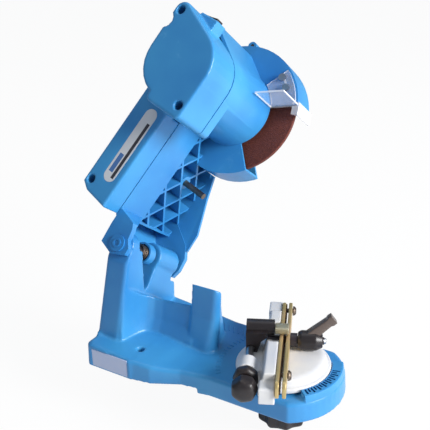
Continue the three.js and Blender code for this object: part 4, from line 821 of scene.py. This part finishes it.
def makeStrokes():
    # short bars with round corners, each carried along its own line on the base's top
    s = strokes
    turn = np.radians(np.linspace(*s["arc"]))
    ring = np.stack([np.cos(turn), np.sin(turn)], -1)
    starts = list(ring * s["radii"][0] + (turntableAt[0], 0))
    ends = list(ring * s["radii"][1] + (turntableAt[0], 0))
    for x in np.linspace(*s["edge"]):
        starts.append(np.array((x, s["edgeY"][0])))
        ends.append(np.array((x + s["lean"], s["edgeY"][1])))
    bar = boxLoop(s["high"], s["wide"], s["corner"])
    grids = []
    for start, end in zip(starts, ends):
        share = np.linspace(0, 1, 5)[:, None]
        flat = start * (1 - share) + end * share
        path = np.concatenate([flat, topLevel(flat[:, :1]) + s["proud"]], -1)
        grids.append(carried(np.repeat(bar[None], 5, 0), path, (0, 0, 1)))
    gridPiece("raised_strokes", grids, "base", "blue_plastic", "base", edge=0.12)


makeScales()
makeStrokes()
print("scales made")

# floor, world and lamps
light = {"key": 38.0, "fill": 1.0, "top": 3.0, "world": 0.3, "floor": -42.0, "paper": 0.9}


def backdropWorld():
    # white to the camera and in reflections, a calm grey to everything else
    world = bpy.data.worlds.new("studio")
    world.use_nodes = True
    scene.world = world
    tree = world.node_tree
    tree.nodes.clear()
    path = addNode(tree, "ShaderNodeLightPath", {})
    seen = path[0].math("MAXIMUM", path[0], path[6])
    dim = addNode(tree, "ShaderNodeBackground", {}, (0.82, 0.95, 1.12, 1), light["world"])[0]
    bright = addNode(tree, "ShaderNodeBackground", {}, (1, 1, 1, 1), 1.0)[0]
    both = addNode(tree, "ShaderNodeMixShader", {}, seen, dim, bright)[0]
    addNode(tree, "ShaderNodeOutputWorld", {}, both)


def paleFloor():
    # a wide sheet far below, white to the camera apart from a little of its shadow
    half = 8.0
    level = light["floor"] * mm
    mesh = bpy.data.meshes.new("floor")
    mesh.from_pydata([(-half, -half, level), (half, -half, level), (half, half, level), (-half, half, level)],
                     [], [(0, 1, 2, 3)])
    floor = bpy.data.objects.new("floor", mesh)
    scene.collection.objects.link(floor)
    m = Finish("paper", Base_Color=(light["paper"],) * 3, Roughness=0.9)
    glow = m.add("ShaderNodeEmission", {}, (1, 1, 1, 1), 1.0)[0]
    path = m.add("ShaderNodeLightPath", {})
    seen = path[0].math("MAXIMUM", path[0], path[6]) * 0.94
    both = m.add("ShaderNodeMixShader", {}, seen, Wire(m.tree, m.shader.outputs[0]), glow)[0]
    setSocket(m.tree, m.tree.nodes["Material Output"].inputs[0], both)
    mesh.materials.append(m.material)


def softLamp(name, place, aim, size, watts):
    # a round area lamp, size across in metres, turned towards its aim
    data = bpy.data.lights.new(name, "AREA")
    data.shape = "DISK"
    data.size = size
    data.energy = watts
    lamp = bpy.data.objects.new(name, data)
    scene.collection.objects.link(lamp)
    lamp.location = place
    lamp.rotation_euler = (Vector(aim) - Vector(place)).to_track_quat("-Z", "Y").to_euler()


aimAt = Vector((0.06, 0.0, 0.12))
flat = Vector((ahead.x, ahead.y, 0)).normalized()
side = Vector((right.x, right.y, 0)).normalized()
softLamp("key", aimAt + Vector((1.42, 0.02, 0.6)), aimAt, 0.7, light["key"])
softLamp("fill", aimAt - side * 0.9 - flat * 1.0 + Vector((0, 0, 0.5)), aimAt, 1.1, light["fill"])
softLamp("top", aimAt + flat * 0.3 + Vector((0, 0, 1.3)), aimAt, 1.0, light["top"])
backdropWorld()
paleFloor()
scene.view_settings.view_transform = "Standard"
print("floor and lamps placed")
